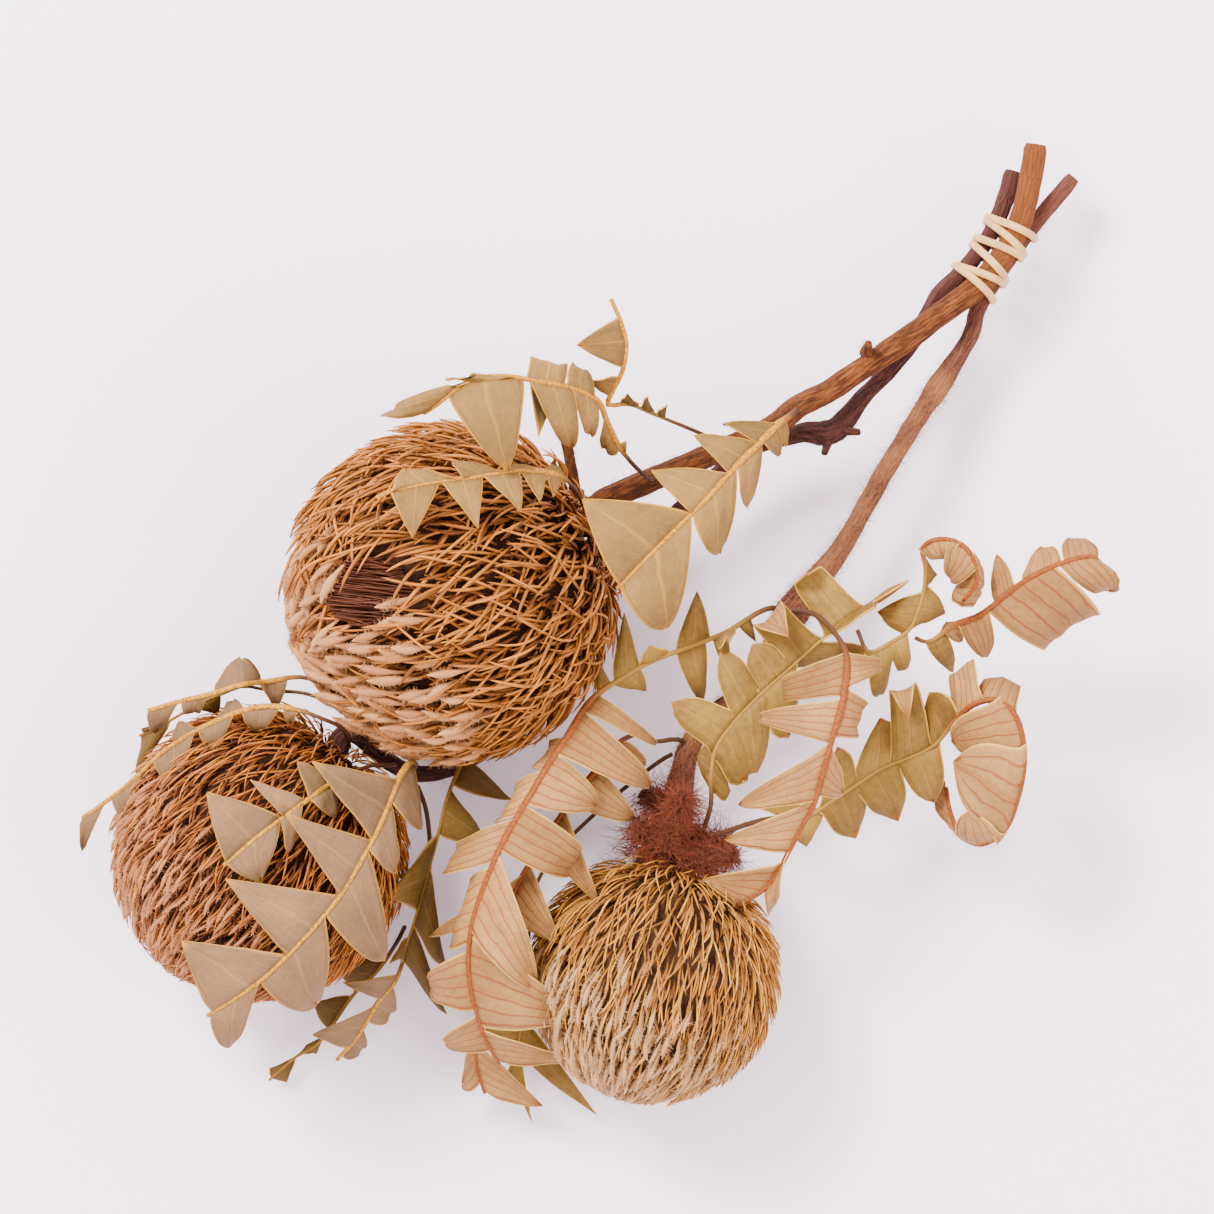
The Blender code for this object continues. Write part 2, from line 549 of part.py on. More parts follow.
def fused(name, pieces, solver="MANIFOLD"):
    """One body from overlapping closed pieces, by one union on a collection."""
    first, rest = pieces[0], pieces[1:]
    first.name = name
    first.data.name = name
    if rest:
        group = bpy.data.collections.new(name + "_pieces")
        bpy.context.scene.collection.children.link(group)
        for piece in rest:
            bpy.context.scene.collection.objects.unlink(piece)
            group.objects.link(piece)
        union = first.modifiers.new("union", "BOOLEAN")
        union.operation = "UNION"
        union.operand_type = "COLLECTION"
        union.collection = group
        union.solver = solver
        bpy.context.view_layer.update()
        graph = bpy.context.evaluated_depsgraph_get()
        result = bpy.data.meshes.new_from_object(first.evaluated_get(graph))
        first.modifiers.clear()
        first.data = result
        for piece in rest:
            bpy.data.objects.remove(piece)
        bpy.data.collections.remove(group)
    tidy_mesh(first.data)
    return first


def tidy_mesh(mesh):
    """Triangles only, with close points and flat neighbours merged where the body stays closed."""
    for merge, flat in ((0.00001, 0.8), (0.00001, 0.0), (0.0, 0.0)):
        body = bmesh.new()
        body.from_mesh(mesh)
        if merge:
            bmesh.ops.remove_doubles(body, verts=body.verts, dist=merge)
        if flat:
            bmesh.ops.dissolve_limit(body, angle_limit=math.radians(flat), verts=body.verts, edges=body.edges)
        bmesh.ops.triangulate(body, faces=body.faces)
        drop_crumbs(body)
        whole = all(edge.is_manifold for edge in body.edges)
        if whole or not merge:
            body.to_mesh(mesh)
        body.free()
        if whole:
            break
    mesh.update()


def drop_crumbs(body):
    """Keeps only the largest island of a mesh."""
    left = set(body.verts)
    islands = []
    while left:
        edge_of = [left.pop()]
        island = []
        while edge_of:
            spot = edge_of.pop()
            island.append(spot)
            for edge in spot.link_edges:
                other = edge.other_vert(spot)
                if other in left:
                    left.remove(other)
                    edge_of.append(other)
        islands.append(island)
    islands.sort(key=len)
    crumbs = [spot for island in islands[:-1] for spot in island]
    bmesh.ops.delete(body, geom=crumbs, context="VERTS")


def material(name, colour, roughness=0.8):
    made = bpy.data.materials.new(name)
    made.use_nodes = True
    shader = made.node_tree.nodes["Principled BSDF"]
    shader.inputs["Base Color"].default_value = (*colour, 1)
    shader.inputs["Roughness"].default_value = roughness
    shader.inputs["Metallic"].default_value = 0
    return made


def core_middle(head):
    """The middle of a head's core, low enough for a flat spot under it."""
    x, y = head["middle"]
    return plan(x, y, head["core"] - 0.4)


# Stems

def stem_path(name):
    """A stem's path with its radius, ended just off the core of its head."""
    head_name, readings = STEMS[name]
    head = HEADS[head_name]
    rows = [[*plan(x, y, z), r] for x, y, z, r in readings]
    middle = core_middle(head)
    inward = unit(np.array(rows[-1][:3]) - middle)
    rows[-2][:3] = middle + inward * (head["core"] + STRAIGHT_END)
    rows[-1][:3] = middle + inward * (head["core"] + END_GAP)
    path = smooth_path(rows)
    far = np.linalg.norm(path[:, :3] - middle, axis=1)
    keep = len(path)
    while far[keep - 2] < head["core"] + END_GAP:
        keep -= 1
    return path[:keep]


def stem(name):
    path = respaced(stem_path(name), STEM_STEP)
    pieces = [new_mesh(name, *tube(path, path[:, 3], STEM_SIDES))]
    for owner, foot, tip, wide, narrow in STUBS:
        if owner == name:
            ends = np.array([plan(*foot), plan(*tip)])
            pieces.append(new_mesh("stub", *tube(ends, (wide, narrow), 6)))
    return fused(name, pieces)


# Rubber band

def crossing(path, point, normal):
    """Where a path crosses a plane, with its radius there."""
    height = (path[:, :3] - point) @ normal
    spans = [i for i in range(len(height) - 1) if height[i] * height[i + 1] <= 0]
    i = min(spans, key=lambda k: np.linalg.norm(path[k, :3] - point))
    share = height[i] / (height[i] - height[i + 1])
    return path[i] + (path[i + 1] - path[i]) * share


def hull(points):
    """The convex outline of flat points, anticlockwise."""
    points = sorted(map(tuple, points))

    def half(ordered):
        line = []
        for p in ordered:
            while len(line) > 1 and ((line[-1][0] - line[-2][0]) * (p[1] - line[-2][1])
                                     <= (line[-1][1] - line[-2][1]) * (p[0] - line[-2][0])):
                line.pop()
            line.append(p)
        return line[:-1]

    return np.array(half(points) + half(points[::-1]))


def band():
    paths = [respaced(stem_path(name), STEM_STEP) for name in STEMS]
    pieces = []
    along = unit(plan(1030, 205, 20) - plan(985, 272, 20))
    for (x, y), lean in BAND_TURNS:
        point = plan(x, y, 20)
        turned = Matrix.Rotation(math.radians(lean), 3, "Z") @ Vector(along)
        normal = np.array(turned)
        side = unit(np.cross((0, 0, 1), normal))
        up = np.cross(normal, side)
        ring = []
        for path in paths:
            *middle, radius = crossing(path, point, normal)
            flat = np.array([np.dot(middle - point, side), np.dot(middle - point, up)])
            reach = (radius + GAP + BAND_RADIUS) / math.cos(math.pi / STEM_SIDES)
            for k in range(24):
                angle = 2 * math.pi * k / 24
                ring.append(flat + reach * np.array([math.cos(angle), math.sin(angle)]))
        outline = hull(ring)
        closed = np.vstack([outline, outline[:1]])
        flat = at_share(np.column_stack([closed, np.zeros(len(closed))]), np.arange(BAND_POINTS) / BAND_POINTS)
        turn = point + flat[:, :1] * side + flat[:, 1:2] * up
        pieces.append(new_mesh("turn", *tube(turn, [BAND_RADIUS] * BAND_POINTS, BAND_SIDES, closed=True)))
    return fused("band", pieces)


# Leaves

def rib_path(name):
    """A leaf's rib, starting just off the stem that bears it. Columns: x, y, z, turn."""
    rib = smooth_path([[*plan(x, y, z), turn] for x, y, z, turn in LEAVES[name][0]])
    if name in LEAF_STEMS:
        bearer = stem_path(LEAF_STEMS[name])
        thick = RIB_RADII.get(name, RIB_USUAL)[0]
        while len(rib) > 10:
            away = np.linalg.norm(bearer[:, :3] - rib[0, :3], axis=1) - bearer[:, 3]
            if away.min() > thick + STALK_GAP:
                break
            rib = rib[1:]
    return rib


def rib_share(rib, x, y):
    """The share of the rib's length at the point nearest a plan reading."""
    run = distance_along(rib)
    near = np.argmin(np.hypot(*(rib[:, :2] - plan(x, y, 0)[:2]).T))
    return run[near] / run[-1]


def lobe_line(middle, reach, arch, roll, tail, rows):
    """The line of a lobe from its base to its tip: a bowed stretch, then a curl and a straight tail."""
    across = reach - middle
    level = unit([across[0], across[1], 0])
    slope = math.atan2(across[2], np.hypot(across[0], across[1]))
    bow = math.radians(arch)
    length = np.linalg.norm(across) * (bow / math.sin(bow) if bow else 1)
    angles, steps = [], []
    for k in range(rows):
        angles.append(slope + bow * (1 - 2 * (k + 0.5) / rows))
        steps.append(length / rows)
    if roll:
        bends = max(1, int(abs(roll) / 55))
        for k in range(bends):
            angles.append(slope - bow - math.radians(roll) * (k + 0.5) / bends)
            steps.append(CURL_RADIUS * math.radians(abs(roll)) / bends)
        if tail:
            angles.append(slope - bow - math.radians(roll))
            steps.append(tail)
    line = [np.zeros(3)]
    for angle, step in zip(angles, steps):
        line.append(line[-1] + step * (math.cos(angle) * level + math.sin(angle) * np.array([0, 0, 1.0])))
    line = np.array(line)
    run = np.concatenate([[0], np.cumsum(steps)])
    return middle + line, run / run[-1]


def lobe_span(rib, lobe, spread):
    """The shares of the rib between which a lobe grows."""
    start, end = sorted((rib_share(rib, *lobe[:2]), rib_share(rib, *lobe[2:4])))
    end = max(end, start + 0.02)
    extra = (end - start) * spread
    return max(start - extra, 0.0), min(end + extra, 1.0)


def lobe_shape(name, lobe):
    """A lobe's bluntness and spread. A lobe that curls right round is a broad strip."""
    bluntness, spread = LOBE_SHAPES.get(name, LOBE_USUAL)
    if len(lobe) > 8 and abs(lobe[8]) >= 100:
        bluntness = max(bluntness, CURLED_BLUNT)
    return bluntness, spread


def lobe_sheet(name, rib, lobe):
    """Points and triangles of a lobe's middle surface. The first row lies on the rib."""
    tip_x, tip_y, height, arch, *curl = lobe[4:]
    roll, tail = curl if curl else (0, 0)
    bluntness, spread = lobe_shape(name, lobe)
    start, end = lobe_span(rib, lobe, spread)
    wide = (end - start) * distance_along(rib)[-1]
    columns = 3 if wide > LONG_LOBE else 2
    base = at_share(rib[:, :3], np.linspace(start, end, columns))
    middle = base.mean(axis=0)
    tip = plan(tip_x, tip_y, height)
    rows = 3 if np.linalg.norm(tip - middle) > LONG_LOBE else 2
    line, shares = lobe_line(middle, tip, arch, roll, tail, rows)
    points = []
    for spot, share in zip(line[:-1], shares[:-1]):
        width = 1 - share ** bluntness
        points.extend(spot + (base - middle) * width)
    points.append(line[-1])
    faces = []
    for i in range(len(line) - 2):
        for k in range(columns - 1):
            a = i * columns + k
            b, c, d = a + 1, a + columns, a + columns + 1
            faces += [(a, b, d), (a, d, c)]
    last = (len(line) - 2) * columns
    for k in range(columns - 1):
        faces.append((last + k, last + k + 1, len(points) - 1))
    rim = [k for k in range(columns)]
    rim += [i * columns + columns - 1 for i in range(1, len(line) - 1)]
    rim += [len(points) - 1]
    rim += [i * columns for i in range(len(line) - 2, 0, -1)]
    return np.array(points), faces, rim


def thickened(points, faces, rim):
    """A closed blade from a middle surface, with the same triangles on both faces."""
    normals = np.zeros_like(points)
    for face in faces:
        a, b, c = points[list(face)]
        normal = np.cross(b - a, c - a)
        for k in face:
            normals[k] += normal
    normals /= np.maximum(np.linalg.norm(normals, axis=1), 1e-9)[:, None]
    count = len(points)
    both = np.vstack([points + normals * BLADE / 2, points - normals * BLADE / 2])
    solid = list(faces) + [tuple(k + count for k in reversed(face)) for face in faces]
    for a, b in zip(rim, rim[1:] + rim[:1]):
        solid += [(b, a, a + count), (b, a + count, b + count)]
    return both, solid


def leaf(name):
    rib = rib_path(name)
    thick, thin = RIB_RADII.get(name, RIB_USUAL)
    path = respaced(rib, RIB_STEP)
    radii = np.linspace(thick, thin, len(path))
    pieces = [new_mesh(name, *tube(path, radii, RIB_SIDES))]
    for lobe in LEAVES[name][1]:
        pieces.append(new_mesh("lobe", *thickened(*lobe_sheet(name, rib, lobe))))
    return fused(name, pieces)


# Flower heads

def round_core(head):
    """A ball turned about a vertical line, with a small flat spot under it."""
    middle = core_middle(head)
    radius = head["core"]
    around, rings = 15, 8
    low = math.acos(middle[2] / radius)
    points = [plan(*head["middle"], 0)]
    for i in range(rings):
        angle = low + (math.pi - low) * i / rings
        for k in range(around):
            turn = 2 * math.pi * (k + 0.5 * (i % 2)) / around
            points.append(middle + radius * np.array([
                math.sin(angle) * math.cos(turn), math.sin(angle) * math.sin(turn), -math.cos(angle)]))
    points.append(middle + np.array([0, 0, radius]))
    faces = []
    for k in range(around):
        m = (k + 1) % around
        faces.append((0, 1 + m, 1 + k))
        top = 1 + (rings - 1) * around
        faces.append((top + k, top + m, len(points) - 1))
        for i in range(rings - 1):
            a, b = 1 + i * around + k, 1 + i * around + m
            faces.append((a, b, b + around, a + around))
    return np.array(points), faces


def floret(root, direction, bend, length, width):
    """A bulging three-sided floret with a pointed tip: its points and faces."""
    side = unit(np.cross(direction, bend))
    up = np.cross(side, direction)
    points = []
    for along, radius, lean in ((-FLORET_SUNK, 0.45 * width, 0), (0.5 * length, width, 0.06 * length)):
        for k in range(3):
            angle = 2 * math.pi * (k + 0.25) / 3
            points.append(root + direction * along + bend * lean
                          + radius * (math.cos(angle) * side + math.sin(angle) * up))
    points.append(root + direction * length + bend * 0.22 * length)
    faces = [(0, 2, 1), (3, 4, 6), (4, 5, 6), (5, 3, 6)]
    for k in range(3):
        m = (k + 1) % 3
        faces.append((k, m, m + 3, k + 3))
    return np.array(points), faces


def floret_length(root, direction, bend, head, share):
    """How far a floret runs before its tip meets the outside of the head."""
    x, y = head["middle"]
    middle = plan(x, y, head["radius"])
    length = 1.0
    while length < 40:
        tip = root + direction * length + bend * 0.22 * length
        if np.linalg.norm(tip - middle) > head["radius"] * share:
            break
        length += 0.5
    return length


def kept_clear():
    """Points of the stems and leaves, with a radius each, that the florets stay off."""
    spots = []
    for name in STEMS:
        spots.append(respaced(stem_path(name), 2.0))
    for name in LEAVES:
        rib = respaced(rib_path(name), 2.0)
        rib[:, 3] = 1.2
        spots.append(rib)
        for lobe in LEAVES[name][1]:
            points, faces, rim = lobe_sheet(name, rib_path(name), lobe)
            for face in faces:
                a, b, c = points[list(face)]
                for i in range(6):
                    for j in range(6 - i):
                        spot = a + (b - a) * i / 5 + (c - a) * j / 5
                        spots.append([[*spot, 1.0]])
    return np.vstack(spots)


def too_near(points, clear, margin):
    spots = np.array([points[:3].mean(axis=0), points[3:6].mean(axis=0), points[6]])
    line = smooth_path(spots, 6)
    width = np.linalg.norm(points[3] - spots[1])
    away = np.linalg.norm(clear[None, :, :3] - line[:, None, :], axis=2) - clear[None, :, 3]
    taper = np.minimum(1, 2.2 * (1 - np.linspace(0, 1, len(line))))[:, None]
    return (away - width * taper).min() < margin


def flower_head(name, clear):
    head = HEADS[name]
    rng = np.random.default_rng(len(name) * 7 + 3)
    axis = unit(head["axis"])
    first = unit(np.cross(axis, (0, 0, 1)))
    second = np.cross(axis, first)
    middle = core_middle(head)
    core = new_mesh(name, *round_core(head))
    hole = None
    if head["hole"]:
        x, y = head["hole"]
        flat = plan(x, y, 0) - middle
        rise = math.sqrt(head["core"] ** 2 - flat[0] ** 2 - flat[1] ** 2)
        hole = middle + np.array([flat[0], flat[1], rise])
        dent(core, hole, head["hole_radius"])
    pieces = [core]
    near = clear[np.linalg.norm(clear[:, :3] - middle, axis=1) < head["radius"] * 1.6]
    for i in range(head["florets"]):
        cos = 1 - (i + 0.5) / head["florets"] * (1 + math.cos(BARE_BASE))
        around = i * math.pi * (3 - math.sqrt(5))
        sin = math.sqrt(1 - cos * cos)
        out = cos * axis + sin * (math.cos(around) * first + math.sin(around) * second)
        root = middle + out * head["core"]
        draws = rng.random(4)
        if root[2] < 5:
            continue
        if hole is not None and np.linalg.norm(root - hole) < head["hole_radius"] + 2.5:
            continue
        forward = unit(axis - out * np.dot(axis, out))
        direction = unit(out + forward * (0.35 + 0.3 * draws[0]))
        bend = unit(forward + 0.5 * (draws[1] - 0.5) * np.cross(forward, out))
        bend = unit(bend - direction * np.dot(bend, direction))
        length = floret_length(root, direction, bend, head, 0.92 + 0.1 * draws[2])
        width = head["width"] * (0.85 + 0.3 * draws[3])
        while length > 2.5:
            points, faces = floret(root, direction, bend, length, min(width, length * 0.5))
            if points[:, 2].min() > 0.3 and not too_near(points, near, GAP + 0.25):
                pieces.append(new_mesh("floret", points, faces))
                break
            length -= 1.0
    return fused(name, pieces, "EXACT")


def dent(core, hole, radius):
    """Cuts a round hollow in a core."""
    bpy.ops.mesh.primitive_uv_sphere_add(segments=12, ring_count=8, radius=radius * MM,
                                         location=placed([hole])[0])
    cutter = bpy.context.object
    cut = core.modifiers.new("hollow", "BOOLEAN")
    cut.operation = "DIFFERENCE"
    cut.object = cutter
    cut.solver = "EXACT"
    bpy.context.view_layer.update()
    graph = bpy.context.evaluated_depsgraph_get()
    core.data = bpy.data.meshes.new_from_object(core.evaluated_get(graph))
    core.modifiers.clear()
    bpy.data.objects.remove(cutter)


def main():
    for item in list(bpy.data.objects):
        bpy.data.objects.remove(item)
    made = [stem(name) for name in STEMS]
    made.append(band())
    made += [leaf(name) for name in LEAVES]
    clear = kept_clear()
    made += [flower_head(name, clear) for name in HEADS]
    for item in made:
        colour = COLOURS.get(item.name)
        if colour is None:
            shown = LEAVES[item.name][0][0][3]
            colour = UNDERSIDE if shown > 90 else UPPERSIDE
        item.data.materials.clear()
        item.data.materials.append(material(item.name + "_skin", colour))
        item.data.polygons.foreach_set("use_smooth", [True] * len(item.data.polygons))


main()
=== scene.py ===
"""Looks of the dried banksia bunch: florets, wool, leaf skin, bark, rubber, floor, lights and camera.

Sizes are in millimetres in the plan of the bunch seen from straight above, and placed() turns that
plan into the part's own frame in metres. The leaf, stem and head readings are those of the solids.
"""
import math

import bmesh
import bpy
import numpy as np
from mathutils import Matrix, Vector, noise
from mathutils.kdtree import KDTree


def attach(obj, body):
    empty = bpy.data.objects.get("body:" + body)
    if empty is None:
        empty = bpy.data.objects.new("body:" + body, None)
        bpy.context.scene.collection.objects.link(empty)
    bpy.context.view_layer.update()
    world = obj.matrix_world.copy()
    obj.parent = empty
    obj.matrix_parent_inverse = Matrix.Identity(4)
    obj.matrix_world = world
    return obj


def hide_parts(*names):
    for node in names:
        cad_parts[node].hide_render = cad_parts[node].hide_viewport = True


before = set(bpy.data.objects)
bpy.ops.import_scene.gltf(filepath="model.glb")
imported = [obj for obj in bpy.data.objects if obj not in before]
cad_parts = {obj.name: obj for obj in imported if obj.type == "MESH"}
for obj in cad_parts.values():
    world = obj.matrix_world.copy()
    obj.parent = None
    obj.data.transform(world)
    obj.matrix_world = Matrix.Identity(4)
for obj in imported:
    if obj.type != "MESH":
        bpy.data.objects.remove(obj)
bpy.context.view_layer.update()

MM = 0.001
PLAN_UNIT = 0.25
PLAN_MIDDLE = 607
PLAN_TURN = math.radians(-47)
PLAN_SHIFT = (-6.8, 19.0)
BODY = "root"
STAGE_LIGHT = 4.9  # how bright a white sheet on the floor is
KEY_POWER = 156  # watts
FILL_POWER = 42
WORLD_COLOUR = (1.0, 0.89, 0.95, 1)
WORLD_STRENGTH = 2.8
FLOOR_COLOURS = ((0.92, 0.83, 0.89), (0.9, 0.805, 0.865))
SHINE = 0.12  # the skins' specular level
WOOL_SHEEN = 0.03

CAMERA_LENS = 200.0
CAMERA_SENSOR = 36.0
CAMERA_HEIGHT = 1.686  # metres above the level at which the plan is seen at its own scale
CAMERA_LEVEL = 0.04

SPAN_STEPS = 12  # points between two readings of a path
BLADE = 0.36
MARGIN_ROLL = 0.8
BLADE_RIPPLE = 0.9
CURL_RADIUS = 3.2
CURL_STEP = 18  # degrees of a curl between two rows of a blade
STALK_SUNK = 0.3
END_GAP = 0.8
STRAIGHT_END = 9.0
STEM_STEP = 1.5
STEM_SIDES = 22
STUB_SIDES = 12
END_WORN = 0.2  # how much narrower a stem's cut end is
END_ROUND = 0.9
BARE_END = 46.0  # how far from its cut end a stem's bark is rubbed smooth and light
BARE_FADE = 16.0
BARE_SHARE = 0.62
RUST_END = 32.0  # how far from the right head its stem is rust red
RUST_FADE = 12.0
RIB_STEP = 2.0
RIB_SIDES = 8

# Flower heads as in the solids. The crust is the depth of the florets over the woody ball, and the
# limb side is where florets end in woolly limbs.
HEADS = {
    "head_top": dict(middle=(452, 592), radius=42.5, core=33.0, axis=(-0.84, -0.31, 0.43), crust=7.0,
                     hole=(366, 594), hole_size=(11.0, 8.5), limb_side=(-0.66, -0.6, 0.42), limb_from=0.56,
                     fuzz=(2.2, 1.5), seed=11),
    "head_left": dict(middle=(260, 852), radius=37.0, core=28.5, axis=(-0.62, -0.76, 0.2), crust=6.0,
                      hole=None, limb_side=(-0.8, -0.58, 0.1), limb_from=0.2,
                      fuzz=(1.8, 1.5), seed=12),
    "head_right": dict(middle=(655, 978), radius=31.5, core=23.5, axis=(-0.3, -0.94, 0.15), crust=5.5,
                       hole=None, limb_side=(-0.45, -0.85, 0.2), limb_from=0.22,
                       fuzz=(1.8, 1.6), seed=13),
}
# Layers of strands: part, tree, skin, how many, thickness, length, the depths they start at, how far
# they lean from straight out at the root and at the tip, how much they cross, segments, sides and where
# they grow.
LAYERS = {
    "head_top": [
        ("husks", "wire", "husk", 2600, 0.52, 8.5, (4.5, 7.5), (48, 72), (74, 96), 0.3, 4, 4, "all"),
        ("styles", "wire", "wire", 2250, 0.42, 19.0, (3.0, 7.5), (36, 62), (80, 116), 0.34, 7, 4, "wires"),
        ("limbs", "limb", "limb", 1050, 1.2, 14.0, (3.0, 6.0), (44, 60), (76, 94), 0.12, 7, 6, "limbs"),
    ],
    "head_left": [
        ("husks", "wire", "husk", 2500, 0.4, 8.0, (4.0, 6.5), (44, 68), (70, 94), 0.24, 4, 4, "all"),
        ("styles", "wire", "wire", 2600, 0.25, 17.0, (2.5, 6.5), (38, 60), (78, 106), 0.16, 6, 4, "wires"),
        ("limbs", "limb", "limb", 2200, 0.56, 9.5, (2.0, 5.0), (40, 58), (66, 86), 0.1, 6, 5, "limbs"),
    ],
    "head_right": [
        ("husks", "wire", "husk", 1800, 0.42, 7.5, (3.5, 6.0), (44, 68), (70, 94), 0.2, 4, 4, "all"),
        ("styles", "wire", "wire", 2200, 0.25, 18.0, (2.5, 6.0), (40, 62), (80, 106), 0.11, 6, 4, "wires"),
        ("limbs", "limb", "limb", 2100, 0.6, 10.5, (2.0, 5.0), (46, 62), (74, 92), 0.09, 6, 5, "limbs"),
    ],
}
BARE_BASE = math.radians(13)
NEST_DEPTH = 11.0
GROUND_GAP = 0.45
OUTLINE_STANDS = 1.3
CORE_RINGS = 56
CORE_SIDES = 90
NEST_FIBRES = 520
COLLAR_HAIRS = 4000
HAIR_SIZES = (0.45, 1.15)  # the shortest and the longest hair of a fuzz, as shares of its length
STEM_HAIR = (0.055, 1.1, 5)  # a fuzz's hair width, how far its hairs lean and its seed
HEAD_HAIR = (0.045, 0.8, 7)

STEMS = {
    "stem_top": ("head_top", [
        (1040, 140, 24, 3.0), (1033, 185, 24, 3.0), (1022, 225, 24, 3.0), (1005, 255, 24, 3.0),
        (985, 280, 24.5, 3.0), (960, 300, 25.5, 3.0), (925, 325, 27, 3.0), (890, 350, 28.5, 3.1),
        (860, 370, 30, 2.9), (830, 390, 31, 2.9), (800, 405, 32, 3.1), (770, 428, 33, 2.9),
        (720, 450, 33.5, 2.9), (660, 476, 32, 3.0), (610, 497, 30, 3.2), (582, 512, 28, 3.6),
        (575, 520, 28, 4.2)]),
    "stem_left": ("head_left", [
        (1018, 165, 18, 2.2), (1010, 195, 18, 2.2), (999, 222, 18, 2.2), (985, 245, 18, 2.2),
        (965, 270, 18, 2.2), (945, 292, 18, 2.7), (915, 340, 19, 2.2), (892, 368, 20, 2.2),
        (865, 396, 21, 2.2), (835, 430, 22, 3.2), (800, 432, 22, 2.4), (740, 455, 21, 2.1),
        (650, 540, 20, 2.1), (606, 590, 16, 2.1), (560, 680, 9, 2.1), (480, 755, 12, 2.1),
        (410, 775, 22, 2.2), (352, 752, 31, 2.6), (330, 760, 31, 3.4)]),
    "stem_right": ("head_right", [
        (1080, 172, 17.5, 2.1), (1060, 195, 17.5, 2.1), (1041, 218, 17.5, 2.1),
        (1022, 243, 17.5, 2.1), (985, 300, 17.5, 2.1), (978, 325, 17.5, 2.2),
        (965, 350, 18, 2.2), (940, 387, 19, 3.0), (925, 410, 20, 2.4), (885, 475, 22, 2.3),
        (848, 540, 23, 2.5), (825, 572, 24, 3.0), (795, 610, 25, 4.2), (778, 640, 25, 3.0),
        (755, 685, 25, 2.6), (720, 712, 25, 2.6), (692, 745, 25, 2.8), (680, 790, 25, 3.6),
        (674, 830, 25, 6.5), (668, 862, 25, 9.0)]),
}
STUBS = [
    ("stem_top", (868, 352, 30), (869, 343, 37), 1.8, 0.9),
    ("stem_top", (578, 505, 30), (563, 425, 40), 1.6, 1.3),
    ("stem_left", (833, 432, 22), (826, 452, 26), 1.5, 0.9),
    ("stem_left", (838, 428, 22), (861, 431, 26), 1.5, 0.9),
    ("stem_right", (672, 840, 25), (735, 846, 31), 2.4, 1.2),
    ("stem_right", (676, 815, 25), (640, 795, 27), 2.2, 1.1),
    ("stem_right", (664, 850, 36), (634, 822, 40), 2.6, 1.6),
    ("stem_right", (668, 850, 40), (682, 792, 46), 2.3, 1.0),
    ("stem_right", (680, 862, 38), (738, 856, 42), 2.9, 1.5),
]

BAND_RADIUS = 0.9
BAND_HALF_THICK = 0.62
BAND_HALF_WIDE = 1.0
BAND_RINGS = 96
BAND_SIDES = 10
BAND_TURNS = [
    ((1014, 222), 9.0),
    ((1009, 232), -9.0),
    ((1003, 243), 9.0),
    ((994, 258), -14.0),
    ((985, 271), 12.0),
    ((979, 279), -9.0),
]


def leaf(turn, rib, lobes):
    """A leaf's readings. A rib point that gives no turn of its own has the leaf's usual one."""
    return [(*spot, turn)[:4] for spot in rib], lobes


